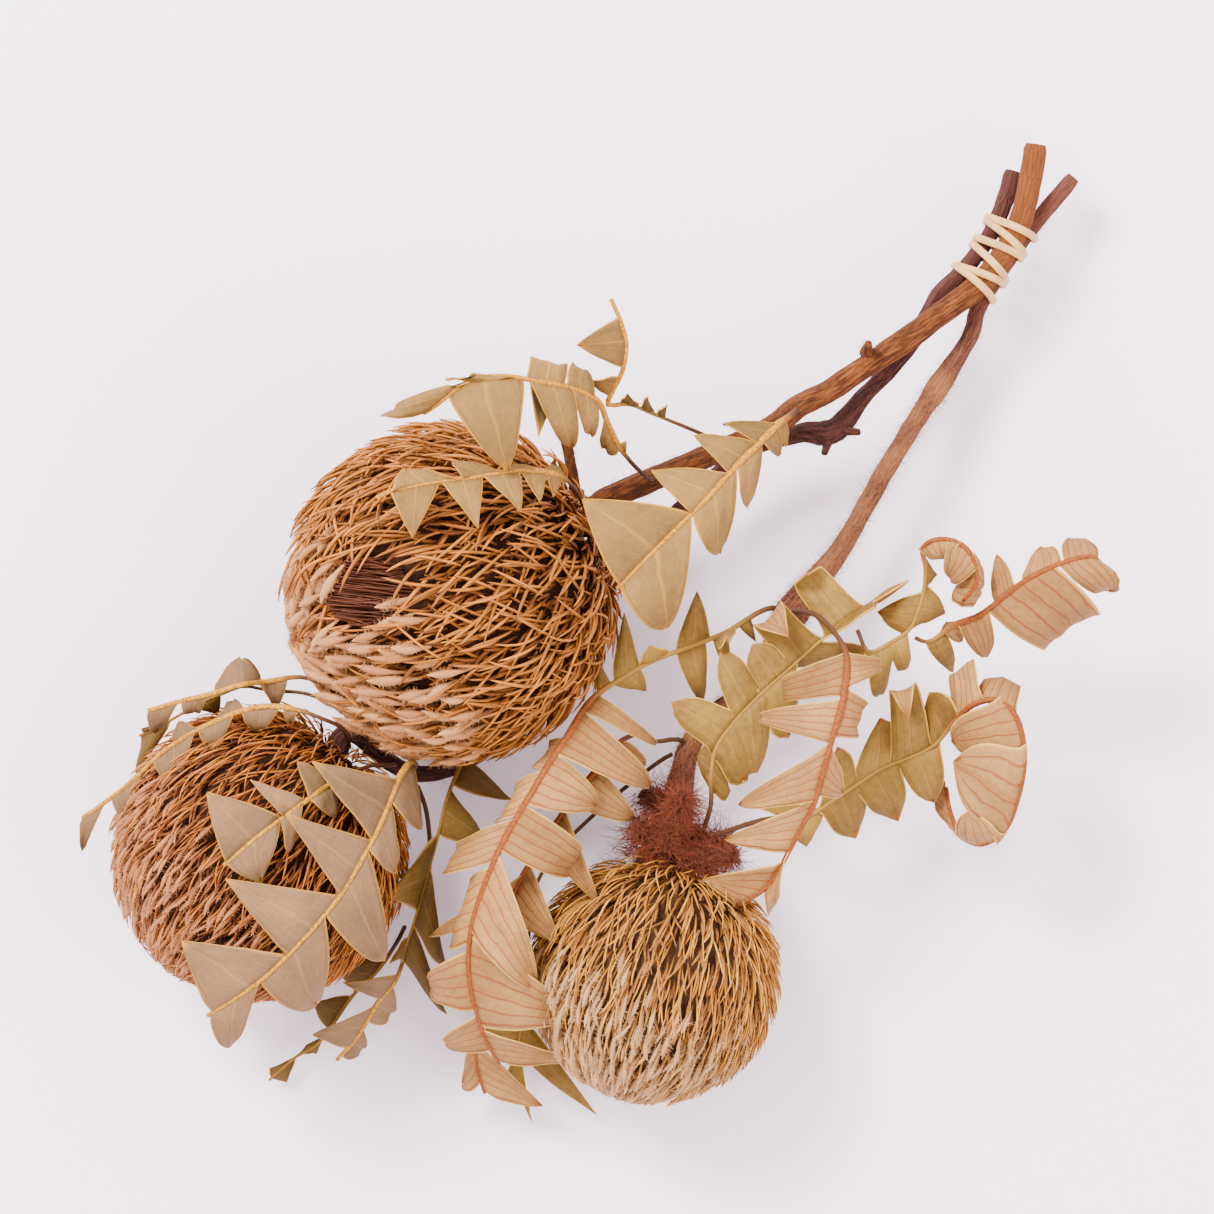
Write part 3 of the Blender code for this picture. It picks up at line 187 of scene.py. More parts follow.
# Leaves. Each has a usual turn, where 0 shows the upper side and 180 the underside, a rib of (plan x,
# plan y, height[, turn]) and lobes of (base start x, y, base end x, y, tip x, y, tip height,
# arch[, roll, tail]).
LEAVES = {
    "leaf_shoulder": leaf(180, [
        (801, 405, 32), (792, 414, 41), (775, 427, 46), (757, 445, 51), (735, 467, 55), (705, 500, 59),
        (680, 525, 61), (650, 555, 62), (617, 589, 61),
    ], [
        (778, 424, 757, 445, 722, 425, 50, 40), (757, 445, 728, 473, 693, 437, 54, 40),
        (728, 473, 690, 513, 651, 472, 60, 40), (690, 513, 620, 586, 583, 501, 65, 25),
        (783, 420, 775, 427, 785, 447, 42, 30), (775, 427, 760, 442, 778, 456, 43, 40),
        (760, 442, 734, 468, 747, 507, 44, 50), (734, 468, 690, 513, 718, 553, 48, 50),
        (690, 513, 620, 586, 667, 627, 50, 45),
    ]),
    "leaf_arch": leaf(180, [
        (657, 478, 32), (648, 478, 40), (630, 462, 50), (617, 445, 58), (607, 424, 66), (597, 404, 73),
        (570, 392, 79), (540, 387, 83), (505, 382, 85), (475, 386, 85), (455, 399, 84), (440, 411, 82),
        (428, 418, 80),
    ], [
        (619, 449, 603, 415, 604, 450, 56, 30), (622, 452, 616, 442, 627, 445, 57, 0),
        (597, 404, 572, 393, 590, 437, 66, 50), (572, 393, 530, 386, 571, 448, 66, 50),
        (525, 384, 452, 401, 510, 474, 83, 50), (566, 391, 530, 385, 549, 375, 82, 30, 175, 15),
        (592, 402, 568, 392, 580, 384, 78, 30, 120, 0), (524, 384, 488, 383, 450, 385, 84, 30),
        (482, 384, 432, 416, 400, 414, 80, 30, 90, 5),
    ]),
    "leaf_flag": leaf(180, [
        (723, 449, 33.5, 0), (713, 441, 41, 0), (700, 434, 47, 0), (676, 425, 54, 0),
        (650, 415, 60, 20), (628, 407, 64, 60), (608, 408, 66, 120), (613, 394, 70), (622, 376, 77),
        (626, 351, 80), (620, 328, 83), (611, 308, 86),
    ], [
        (666, 421, 656, 417, 667, 408, 60, 20), (654, 416, 640, 411, 648, 400, 64, 30),
        (638, 410, 620, 405, 628, 397, 67, 30), (610, 398, 621, 379, 590, 385, 72, 30),
        (623, 372, 618, 325, 578, 351, 82, 35),
    ]),
    "leaf_cross": leaf(180, [
        (604, 500, 30), (600, 505, 40), (588, 512, 50), (575, 490, 62), (560, 478, 70), (540, 474, 75),
        (510, 475, 79), (480, 480, 82), (450, 484, 84), (420, 489, 86), (398, 494, 87), (383, 501, 87),
    ], [
        (396, 495, 446, 485, 418, 540, 90, 20), (446, 485, 486, 479, 481, 530, 87, 20),
        (486, 479, 521, 475, 523, 514, 83, 20), (521, 475, 546, 475, 541, 505, 78, 20),
        (546, 475, 562, 479, 554, 499, 72, 20), (397, 494, 468, 482, 412, 474, 85, 50),
        (468, 482, 508, 475, 456, 466, 81, 40), (508, 475, 540, 474, 502, 467, 78, 40),
        (545, 475, 563, 480, 553, 468, 70, 20),
    ]),
    "leaf_long": leaf(180, [
        (790, 617, 25, 0), (775, 608, 29.5, 0), (760, 612, 33, 0), (745, 621, 36, 0), (725, 633, 37, 0),
        (700, 643, 38, 0), (678, 651, 39, 0), (650, 662, 40, 0), (625, 676, 42, 30),
        (600, 692, 45, 100), (584, 709, 48), (568, 735, 52), (548, 765, 55), (530, 795, 57),
        (512, 825, 58), (497, 855, 58), (485, 885, 57), (475, 915, 55), (470, 945, 52), (470, 975, 48),
        (475, 1005, 43), (482, 1030, 38), (490, 1050, 33), (498, 1066, 29),
    ], [
        (752, 617, 738, 625, 757, 642, 32, 30), (735, 627, 716, 636, 724, 640, 42, 10, -100, 0),
        (728, 631, 712, 638, 730, 677, 32, 30), (710, 639, 676, 652, 697, 592, 34, 40),
        (706, 641, 676, 652, 703, 703, 30, 50), (672, 654, 640, 668, 650, 646, 44, 30),
        (640, 668, 615, 682, 624, 612, 38, 30), (612, 684, 598, 694, 596, 660, 38, 30),
        (640, 668, 612, 684, 645, 690, 36, 30), (598, 695, 583, 712, 655, 743, 38, 70, 20, 0),
        (583, 712, 557, 752, 650, 785, 40, 60, 10, 0), (556, 753, 525, 803, 594, 803, 47, 50, 20, 0),
        (525, 803, 501, 848, 573, 860, 50, 50, 150, 3), (499, 851, 473, 928, 536, 985, 44, 50, 10, 0),
        (472, 932, 481, 1026, 577, 1015, 40, 25), (482, 1030, 497, 1064, 583, 1063, 31, 20),
        (566, 738, 547, 767, 545, 755, 50, 20, 150, 3), (546, 768, 520, 812, 508, 803, 52, 40, 160, 3),
        (518, 815, 496, 857, 453, 858, 48, 40, 110, 8), (494, 862, 471, 940, 461, 912, 49, 40, 160, 4),
        (470, 948, 476, 1010, 431, 985, 39, 40, 60, 0),
        (477, 1014, 491, 1052, 445, 1045, 30, 40, 40, 0),
    ]),
    "leaf_under": leaf(180, [
        (692, 745, 25), (676, 740, 30), (655, 742, 32), (638, 735, 36), (620, 742, 40), (600, 765, 43),
        (572, 800, 42), (545, 840, 41), (520, 880, 40), (503, 920, 39), (492, 960, 35), (482, 1000, 30),
        (475, 1040, 24), (475, 1070, 19), (483, 1100, 15),
    ], [
        (622, 740, 598, 768, 645, 765, 34, 40), (598, 768, 570, 803, 635, 820, 36, 40),
        (565, 811, 542, 845, 600, 905, 42, 30), (530, 864, 505, 914, 560, 943, 42, 30),
        (500, 930, 488, 975, 574, 1003, 38, 30), (474, 1045, 482, 1097, 541, 1114, 10, 20),
        (525, 872, 505, 914, 429, 938, 34, 40), (477, 1030, 479, 1088, 461, 1092, 12, 30),
    ]),
    "leaf_underlay": leaf(0, [
        (690, 752, 25), (668, 758, 23), (625, 790, 20), (575, 835, 18), (545, 870, 16), (530, 905, 15),
        (528, 940, 13), (524, 985, 12), (520, 1030, 11), (515, 1060, 9), (506, 1082, 7),
    ], [
        (526, 975, 522, 1020, 634, 1100, 3, 5), (520, 1024, 512, 1062, 596, 1125, 4, 15),
        (524, 1061, 508, 1080, 531, 1134, 4, 20), (545, 1018, 512, 1075, 480, 1040, 8, 25),
    ]),
    "leaf_edge": leaf(0, [
        (482, 754, 12), (470, 745, 20), (457, 772, 26), (446, 800, 32), (437, 838, 36), (427, 875, 36),
        (416, 915, 34), (406, 945, 31), (400, 965, 28),
    ], [
        (464, 757, 452, 785, 512, 803, 16, 30), (450, 790, 438, 834, 488, 845, 26, 40),
        (438, 834, 417, 912, 386, 896, 44, 30), (430, 865, 413, 925, 443, 968, 22, 40),
        (413, 925, 401, 962, 444, 1021, 12, 30), (409, 938, 401, 962, 389, 966, 30, 10),
    ]),
    "leaf_front": leaf(180, [
        (410, 775, 22), (414, 768, 31), (416, 764, 41), (413, 761, 49), (408, 765, 54), (400, 778, 59),
        (390, 805, 63), (378, 832, 67), (362, 862, 70), (345, 890, 72), (325, 915, 73), (300, 942, 72),
        (275, 967, 69), (245, 990, 64), (212, 1011, 58),
    ], [
        (400, 778, 376, 836, 318, 759, 72, 30), (376, 836, 345, 890, 293, 809, 80, 25),
        (345, 890, 293, 948, 235, 872, 82, 20), (293, 948, 218, 1007, 190, 935, 68, 20),
        (409, 757, 393, 797, 422, 828, 48, 40), (393, 797, 372, 844, 397, 868, 56, 40),
        (372, 844, 330, 909, 386, 957, 54, 40), (330, 909, 265, 975, 318, 1000, 54, 40),
        (265, 975, 215, 1009, 233, 1043, 48, 30),
    ]),
    "leaf_second": leaf(180, [
        (392, 767, 24), (394, 765, 37), (385, 765, 46), (372, 765, 50), (355, 771, 58), (335, 781, 65),
        (312, 797, 72), (290, 813, 75), (262, 834, 77), (232, 860, 77),
    ], [
        (290, 813, 234, 858, 216, 789, 76, 30), (312, 797, 290, 813, 258, 777, 75, 30),
        (337, 780, 313, 796, 302, 760, 66, 30), (288, 815, 235, 857, 268, 876, 75, 25),
        (310, 798, 288, 815, 294, 848, 73, 60), (338, 779, 314, 795, 338, 814, 64, 40),
    ]),
    "leaf_rim_low": leaf(180, [
        (348, 753, 31), (348, 738, 42), (343, 726, 55), (326, 717, 64), (300, 708, 62), (270, 705, 60),
        (245, 710, 58), (222, 719, 56), (195, 732, 53), (165, 752, 50), (140, 775, 46), (110, 799, 42),
        (82, 818, 38),
    ], [
        (302, 709, 288, 706, 295, 722, 57, 30), (286, 706, 247, 710, 261, 729, 54, 40),
        (240, 712, 202, 729, 217, 750, 52, 35), (200, 730, 156, 760, 177, 782, 47, 35),
        (145, 770, 113, 797, 128, 822, 40, 35), (108, 800, 83, 817, 80, 851, 34, 25),
        (248, 709, 222, 719, 237, 701, 54, 40), (203, 728, 178, 742, 182, 721, 50, 30),
    ]),
    "leaf_rim_mid": leaf(0, [
        (362, 756, 30), (367, 739, 38), (343, 711, 46), (310, 694, 47), (270, 690, 46), (245, 686, 46),
        (225, 693, 45), (205, 701, 45), (185, 712, 42), (160, 726, 38), (138, 736, 34),
    ], [
        (222, 694, 193, 708, 218, 714, 40, 20), (215, 697, 190, 710, 196, 697, 46, 20),
        (170, 721, 139, 735, 133, 778, 28, 30), (168, 722, 142, 733, 140, 729, 36, 10),
    ]),
    "leaf_rim_high": leaf(180, [
        (376, 762, 27), (390, 743, 37), (367, 713, 45), (337, 691, 49), (305, 677, 50), (270, 681, 50),
        (245, 684, 58), (215, 693, 56), (185, 700, 52), (150, 710, 47),
    ], [
        (263, 682, 217, 692, 243, 659, 48, 30), (290, 679, 262, 682, 276, 706, 44, 30),
        (212, 694, 186, 700, 195, 712, 46, 30), (182, 701, 151, 710, 157, 731, 40, 30),
    ]),
    "leaf_low": leaf(180, [
        (410, 775, 22), (424, 815, 17), (427, 870, 16), (416, 920, 20), (402, 962, 26), (393, 985, 24),
        (376, 1006, 21), (362, 1030, 17), (350, 1048, 13), (332, 1068, 9),
    ], [
        (397, 975, 378, 1003, 341, 985, 28, 40), (375, 1007, 346, 1052, 309, 1040, 16, 30),
        (390, 989, 364, 1027, 387, 1018, 14, 40), (360, 1033, 337, 1063, 357, 1057, 7, 30),
    ]),
    "leaf_low_back": leaf(0, [
        (402, 931, 18), (395, 945, 22), (375, 975, 18), (350, 1000, 14), (328, 1032, 11),
        (312, 1052, 9), (288, 1067, 7), (262, 1090, 5),
    ], [
        (384, 962, 352, 998, 330, 968, 14, 25), (348, 1003, 324, 1038, 308, 1010, 10, 25),
        (318, 1045, 292, 1065, 300, 1053, 8, 10), (290, 1066, 264, 1088, 263, 1078, 5, 10),
        (320, 1042, 292, 1065, 310, 1062, 6, 10), (290, 1066, 264, 1088, 280, 1092, 4, 10),
    ]),
    "leaf_right": leaf(180, [
        (795, 612, 25), (797, 611, 33), (806, 612, 41), (816, 616, 50), (832, 632, 57), (843, 652, 60),
        (843, 680, 62), (837, 710, 64), (828, 740, 64), (820, 770, 62), (812, 800, 59), (800, 825, 55),
        (785, 855, 50), (772, 880, 46), (755, 895, 44), (735, 906, 42),
    ], [
        (843, 656, 842, 690, 784, 689, 48, 40, 170, 3), (838, 702, 829, 738, 761, 716, 54, 40, 60, 2),
        (827, 744, 815, 793, 738, 804, 48, 40), (812, 800, 790, 846, 725, 838, 46, 30),
        (780, 865, 742, 903, 703, 878, 44, 20), (843, 656, 843, 686, 876, 665, 54, 30, 60, 0),
        (842, 692, 832, 730, 857, 718, 54, 40, 150, 4), (826, 748, 816, 788, 840, 790, 52, 30),
        (788, 850, 768, 885, 769, 911, 38, 50),
    ]),
    "leaf_olive": leaf(0, [
        (672, 850, 25), (688, 852, 33), (702, 833, 36), (711, 805, 38), (711, 775, 40), (717, 746, 41),
        (740, 715, 42), (765, 690, 42), (792, 666, 42), (820, 641, 41), (850, 617, 41), (880, 600, 42),
    ], [
        (711, 785, 714, 757, 697, 756, 40, 20), (717, 746, 737, 719, 672, 702, 42, 20),
        (738, 718, 758, 697, 720, 652, 42, 20), (763, 692, 788, 670, 752, 645, 42, 20),
        (791, 667, 816, 645, 779, 627, 42, 10, -150, 7),
        (833, 630, 858, 611, 819, 590, 38, 10, -110, 5), (711, 785, 714, 757, 730, 792, 37, 20),
        (716, 748, 736, 720, 746, 781, 37, 30), (737, 719, 762, 693, 757, 773, 36, 30),
        (764, 691, 790, 668, 788, 737, 37, 30), (793, 665, 812, 648, 840, 655, 34, 10, -90, 4),
        (828, 634, 860, 611, 880, 596, 46, 10, -140, 4),
    ]),
    "leaf_scroll": leaf(0, [
        (676, 826, 25), (696, 830, 32), (712, 836, 36), (735, 829, 36), (765, 820, 35), (790, 818, 34),
        (812, 815, 33), (835, 800, 34), (860, 783, 35), (885, 767, 36), (910, 757, 38),
        (935, 744, 42, 40), (952, 722, 48, 110), (972, 703, 54, 180), (996, 700, 57, 180),
        (1014, 720, 57, 180), (1021, 760, 54, 180), (1015, 800, 49, 180), (1004, 830, 43, 180),
        (982, 845, 37, 180), (962, 836, 33, 180), (952, 812, 31, 180), (948, 788, 31, 180),
    ], [
        (790, 818, 815, 813, 757, 800, 32, 20), (796, 818, 822, 809, 807, 847, 28, 20),
        (826, 806, 857, 785, 854, 829, 30, 30, -60, 0), (860, 783, 892, 764, 895, 812, 31, 30, -60, 0),
        (828, 805, 855, 787, 838, 747, 36, 30), (860, 783, 895, 762, 881, 718, 38, 30),
        (898, 760, 925, 750, 904, 702, 46, 30, -190, 4), (902, 759, 932, 746, 936, 803, 32, 30),
        (1004, 706, 1020, 748, 951, 740, 46, 40), (1020, 765, 1005, 828, 951, 761, 50, 30),
        (998, 836, 966, 838, 967, 811, 44, 30), (958, 828, 948, 792, 937, 800, 26, 20),
        (930, 747, 952, 722, 928, 692, 46, 30), (955, 719, 974, 703, 962, 673, 50, 30, 120, 5),
        (976, 702, 1004, 706, 998, 685, 54, 20, 120, 5),
    ]),
    "leaf_ring": leaf(180, [
        (857, 630, 42.5, 0), (868, 652, 44, 0), (890, 642, 45, 0), (908, 630, 46, 0),
        (916, 612, 48, 20), (922, 590, 50, 60), (923, 568, 53, 90), (920, 548, 56, 140), (936, 540, 60),
        (957, 545, 62), (970, 562, 62), (972, 583, 60), (960, 601, 56),
    ], [
        (908, 630, 920, 600, 877, 612, 44, 20), (889, 643, 903, 634, 905, 668, 40, 40, 100, 3),
        (870, 651, 890, 642, 880, 695, 36, 40, 60, 2), (912, 622, 922, 592, 944, 612, 44, 30),
        (922, 586, 922, 560, 934, 575, 50, 20), (922, 546, 948, 542, 940, 560, 56, 30),
        (950, 543, 970, 562, 948, 578, 52, 40), (971, 564, 962, 600, 956, 585, 50, 30),
        (971, 566, 961, 600, 977, 590, 54, 30),
    ]),
    "leaf_cap": leaf(180, [
        (915, 638, 45.5, 0), (926, 642, 43, 0), (938, 636, 42, 40), (954, 624, 45, 120), (976, 616, 50),
        (1000, 597, 55), (1020, 581, 59), (1045, 568, 62), (1070, 559, 63), (1088, 558, 62),
        (1097, 567, 59),
    ], [
        (984, 611, 1050, 566, 1066, 628, 50, 40, 150, 14),
        (1052, 565, 1094, 563, 1105, 590, 52, 50, 40, 0), (1018, 583, 1056, 563, 1038, 548, 58, 30),
        (1058, 562, 1092, 560, 1070, 540, 56, 20, 30, 0), (992, 604, 1012, 587, 995, 555, 50, 20),
        (958, 622, 986, 610, 988, 657, 38, 20), (945, 632, 958, 622, 962, 640, 40, 20),
        (936, 640, 954, 624, 946, 622, 42, 10), (925, 648, 945, 632, 955, 672, 30, 30),
    ]),
}

RIB_RADII = {
    "leaf_long": (1.3, 0.6),
    "leaf_right": (1.3, 0.6),
    "leaf_olive": (1.2, 0.6),
    "leaf_scroll": (1.2, 0.6),
    "leaf_shoulder": (1.2, 0.6),
}
RIB_USUAL = (1.0, 0.6)
LEAF_STEMS = {"leaf_" + name: stem for stem, names in (
    ("stem_top", ("shoulder", "arch", "flag", "cross")),
    ("stem_left", ("front", "second", "rim_low", "rim_mid", "rim_high", "edge", "low", "low_back")),
    ("stem_right", ("long", "under", "underlay", "right", "olive", "scroll")),
) for name in names}
# How blunt the lobes are, and how far each base runs past its readings as a share of its width.
LOBE_SHAPES = {
    "leaf_olive": (5.5, 0.12), "leaf_scroll": (3.4, 0.12), "leaf_ring": (2.2, 0.1), "leaf_cap": (2.2, 0.0),
    "leaf_front": (1.2, 0.0), "leaf_second": (1.2, 0.0), "leaf_rim_low": (1.2, 0.0),
    "leaf_rim_mid": (1.2, 0.0), "leaf_rim_high": (1.2, 0.0), "leaf_edge": (1.2, 0.0),
    "leaf_low": (1.2, 0.0), "leaf_cross": (1.25, 0.0),
}
CURLED_BLUNT = 2.4
LOBE_USUAL = (1.4, 0.0)
# How much wider lobes are at their foot, where the blade joins them along the rib.
LOBE_FLARES = {"leaf_olive": 0.35, "leaf_scroll": 0.3, "leaf_right": 0.3, "leaf_ring": 0.3}
# Leaf skins: khaki round the largest head, grey beige on the left, cream with rust veins on the right.
LEAF_SKINS = {
    "khaki": ("leaf_shoulder", "leaf_arch", "leaf_flag", "leaf_cross"),
    "greybeige": ("leaf_front", "leaf_second", "leaf_rim_low", "leaf_rim_mid", "leaf_rim_high", "leaf_low",
                  "leaf_low_back", "leaf_edge"),
    "rusty": ("leaf_long", "leaf_under", "leaf_underlay", "leaf_right", "leaf_olive", "leaf_scroll",
              "leaf_ring", "leaf_cap"),
}


def srgb(red, green, blue):
    """The albedo that shows as this colour, given in 0 to 255, under the stage's light.

    The picture's tone curve dims and greys what is bright, so a bright colour is raised and deepened.
    """
    seen = np.array([red, green, blue]) / 255
    seen = np.where(seen > 0.04045, ((seen + 0.055) / 1.055) ** 2.4, seen / 12.92)
    most = seen.max()
    deeper = 1 + 2.1 * max(0.0, most - 0.36)
    lit = most * (1 + 5.4 * most ** 4) * (seen / most) ** deeper
    return (*np.minimum(lit / STAGE_LIGHT, 0.9), 1.0)


def plan(x, y, z):
    return np.array([(x - PLAN_MIDDLE) * PLAN_UNIT, (PLAN_MIDDLE - y) * PLAN_UNIT, z], float)


def placed(points):
    """Points of the plan in metres, turned so that the stems run along +X."""
    points = np.asarray(points, float)
    cos, sin = math.cos(PLAN_TURN), math.sin(PLAN_TURN)
    x = points[:, 0] * cos - points[:, 1] * sin + PLAN_SHIFT[0]
    y = points[:, 0] * sin + points[:, 1] * cos + PLAN_SHIFT[1]
    return np.column_stack([x, y, points[:, 2]]) * MM


def turned(vectors):
    """Directions or lengths of the plan in metres in the part's frame."""
    return placed(vectors) - placed(np.zeros((1, 3)))


def unit(vector):
    vector = np.asarray(vector, float)
    return vector / max(np.linalg.norm(vector), 1e-9)


def units(rows):
    return rows / np.maximum(np.linalg.norm(rows, axis=1), 1e-9)[:, None]


def smooth_path(points):
    """A Catmull-Rom curve through rows of numbers."""
    p = np.asarray(points, float)
    p = np.vstack([2 * p[0] - p[1], p, 2 * p[-1] - p[-2]])
    out = []
    for i in range(1, len(p) - 2):
        a, b, c, d = p[i - 1:i + 3]
        for t in np.arange(SPAN_STEPS) / SPAN_STEPS:
            out.append(0.5 * (2 * b + (c - a) * t + (2 * a - 5 * b + 4 * c - d) * t ** 2
                              + (3 * b - a - 3 * c + d) * t ** 3))
    out.append(p[-2])
    return np.array(out)


def distance_along(path):
    steps = np.linalg.norm(np.diff(path[:, :3], axis=0), axis=1)
    return np.concatenate([[0], np.cumsum(steps)])


def at_share(path, shares):
    run = distance_along(path)
    shares = np.atleast_1d(shares)
    return np.column_stack([np.interp(shares * run[-1], run, path[:, k]) for k in range(path.shape[1])])


def respaced(path, step):
    count = max(2, int(round(distance_along(path)[-1] / step)) + 1)
    return at_share(path, np.linspace(0, 1, count))


def frames(path):
    """Two directions across each point of a path, carried along without twist."""
    ahead = units(np.gradient(path[:, :3], axis=0))
    side = unit(np.cross(ahead[0], (0, 0, 1) if abs(ahead[0][2]) < 0.9 else (1, 0, 0)))
    sides, ups = [], []
    for direction in ahead:
        side = unit(side - direction * np.dot(side, direction))
        sides.append(side)
        ups.append(np.cross(side, direction))
    return np.array(sides), np.array(ups)


# Meshes

class Shape:
    """Points, faces and named values gathered for one mesh."""

    def __init__(self):
        self.points, self.faces, self.values, self.count = [], [], {}, 0

    def add(self, points, faces, **values):
        """Adds plan points with faces and values, one value per point or one for all."""
        self.points.append(np.asarray(points, float))
        self.faces += [tuple(k + self.count for k in face) for face in faces]
        size = len(points)
        for name in sorted(set(self.values) | set(values)):
            before = self.values.get(name, [np.zeros(self.count)])
            given = np.broadcast_to(np.asarray(values.get(name, 0.0), float), (size,))
            self.values[name] = before + [given]
        self.count += size

    def piece(self, name, skin, slot, *nodes):
        """The finished piece, riding on the bunch and standing for CAD nodes."""
        mesh = bpy.data.meshes.new(name)
        mesh.from_pydata([tuple(p) for p in placed(np.vstack(self.points))], [], self.faces)
        for key, parts in self.values.items():
            layer = mesh.attributes.new(key, "FLOAT", "POINT")
            layer.data.foreach_set("value", np.concatenate(parts).astype(np.float32))
        turn_outward(mesh)
        mesh.polygons.foreach_set("use_smooth", [True] * len(mesh.polygons))
        mesh.materials.append(skin)
        return dressed(linked(name, mesh), slot, *nodes)


def turn_outward(mesh, merge=0.0):
    """Turns the faces outwards, after points closer than merge are made one."""
    body = bmesh.new()
    body.from_mesh(mesh)
    if merge:
        bmesh.ops.remove_doubles(body, verts=body.verts, dist=merge)
    bmesh.ops.recalc_face_normals(body, faces=body.faces)
    body.to_mesh(mesh)
    body.free()


def linked(name, data):
    """A new object in the scene."""
    made = bpy.data.objects.new(name, data)
    bpy.context.scene.collection.objects.link(made)
    return made


def tube_faces(rings, sides, closed=False):
    """The faces between each ring of points and the next."""
    faces = []
    for i in range(rings if closed else rings - 1):
        j = (i + 1) % rings
        for k in range(sides):
            m = (k + 1) % sides
            faces.append((i * sides + k, i * sides + m, j * sides + m, j * sides + k))
    return faces


def dressed(piece, slot, *nodes):
    """A piece that rides on the bunch and stands for CAD nodes. Its slot is not used."""
    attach(piece, BODY)
    if nodes:
        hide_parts(*nodes)
    return piece


# Shader pieces

def feed(tree, socket, value):
    """Links a socket, or sets its value."""
    if isinstance(value, bpy.types.NodeSocket):
        tree.links.new(value, socket)
    elif isinstance(value, tuple) and len(value) == 3 and len(socket.default_value) == 4:
        socket.default_value = (*value, 1)
    else:
        socket.default_value = value


def node(tree, kind, settings=(), **inputs):
    """A node with its settings, and its inputs by name with _ for a space."""
    made = tree.nodes.new(kind)
    for key, value in dict(settings).items():
        setattr(made, key, value)
    for key, value in inputs.items():
        feed(tree, made.inputs[key.replace("_", " ")], value)
    return made


def mixed(tree, share, first, second, mode="MIX"):
    """Two colours mixed by a share."""
    made = tree.nodes.new("ShaderNodeMix")
    made.data_type = "RGBA"
    made.blend_type = mode
    for index, value in ((0, share), (6, first), (7, second)):
        feed(tree, made.inputs[index], value)
    return made.outputs[2]


def maths(tree, operation, first, second=0.0, clamp=False):
    made = node(tree, "ShaderNodeMath", {"operation": operation, "use_clamp": clamp})
    feed(tree, made.inputs[0], first)
    feed(tree, made.inputs[1], second)
    return made.outputs[0]


def times(tree, first, second):
    return maths(tree, "MULTIPLY", first, second)


def ranged(tree, value, low, high, to_low=0.0, to_high=1.0):
    """A value spread from one range to another, smoothly."""
    made = node(tree, "ShaderNodeMapRange", {"interpolation_type": "SMOOTHSTEP"})
    for index, given in enumerate((value, low, high, to_low, to_high)):
        feed(tree, made.inputs[index], given)
    return made.outputs[0]


def attribute(tree, name):
    return node(tree, "ShaderNodeAttribute", {"attribute_name": name}).outputs["Fac"]


def group(name, inputs, outputs, kind="ShaderNodeTree"):
    """An empty node group with named sockets, and its input and output nodes."""
    tree = bpy.data.node_groups.new(name, kind)
    for key, socket_kind, value in inputs:
        socket = tree.interface.new_socket(key, in_out="INPUT", socket_type=socket_kind)
        if value is not None:
            socket.default_value = value
    for key, socket_kind in outputs:
        tree.interface.new_socket(key, in_out="OUTPUT", socket_type=socket_kind)
    return tree, tree.nodes.new("NodeGroupInput"), tree.nodes.new("NodeGroupOutput")


def use(tree, shared, **inputs):
    made = tree.nodes.new("ShaderNodeGroup")
    made.node_tree = shared
    for key, value in inputs.items():
        feed(tree, made.inputs[key.replace("_", " ")], value)
    return made


NUMBER = "NodeSocketFloat"
WHOLE = "NodeSocketInt"
SKIN = "NodeSocketMaterial"


def mottling_group():
    """Blotches at two scales, as a share and a height."""
    tree, given, result = group("dry_mottling", [("Scale", NUMBER, 120.0), ("Contrast", NUMBER, 0.5)],
                                [("Share", NUMBER), ("Height", NUMBER)])
    place = node(tree, "ShaderNodeTexCoord").outputs["Object"]
    large = node(tree, "ShaderNodeTexNoise", Vector=place, Scale=given.outputs["Scale"], Detail=3.0)
    fine_scale = times(tree, given.outputs["Scale"], 9.0)
    fine = node(tree, "ShaderNodeTexNoise", Vector=place, Scale=fine_scale, Detail=4.0)
    both = maths(tree, "ADD", times(tree, large.outputs[0], 0.65), times(tree, fine.outputs[0], 0.35))
    centred = maths(tree, "SUBTRACT", both, 0.5)
    contrast = times(tree, given.outputs["Contrast"], 5.0)
    share = maths(tree, "ADD", times(tree, centred, contrast), 0.5, clamp=True)
    feed(tree, result.inputs["Share"], share)
    feed(tree, result.inputs["Height"], fine.outputs[0])
    return tree


def vein_group():
    """Fine lines running out from the rib along each lobe, with a middle vein, as a mask."""
    tree, given, result = group("leaf_veins", [("Count", NUMBER, 5.0), ("Width", NUMBER, 0.12)],
                                [("Lines", NUMBER), ("Middle", NUMBER)])
    across = attribute(tree, "across")
    place = node(tree, "ShaderNodeTexCoord").outputs["Object"]
    waver = node(tree, "ShaderNodeTexNoise", Vector=place, Scale=160.0, Detail=2.0).outputs[0]
    wavy = maths(tree, "ADD", across, times(tree, maths(tree, "SUBTRACT", waver, 0.5), 0.25))
    counted = times(tree, maths(tree, "ADD", wavy, 2.0), given.outputs["Count"])
    rows = maths(tree, "FRACT", counted)
    away = maths(tree, "ABSOLUTE", maths(tree, "SUBTRACT", rows, 0.5))
    lines = ranged(tree, away, 0.0, given.outputs["Width"], 1.0, 0.0)
    middle = ranged(tree, maths(tree, "ABSOLUTE", wavy), 0.0, 0.09, 1.0, 0.0)
    fade = ranged(tree, attribute(tree, "along"), 0.75, 1.0, 1.0, 0.3)
    feed(tree, result.inputs["Lines"], times(tree, lines, fade))
    feed(tree, result.inputs["Middle"], times(tree, middle, fade))
    return tree


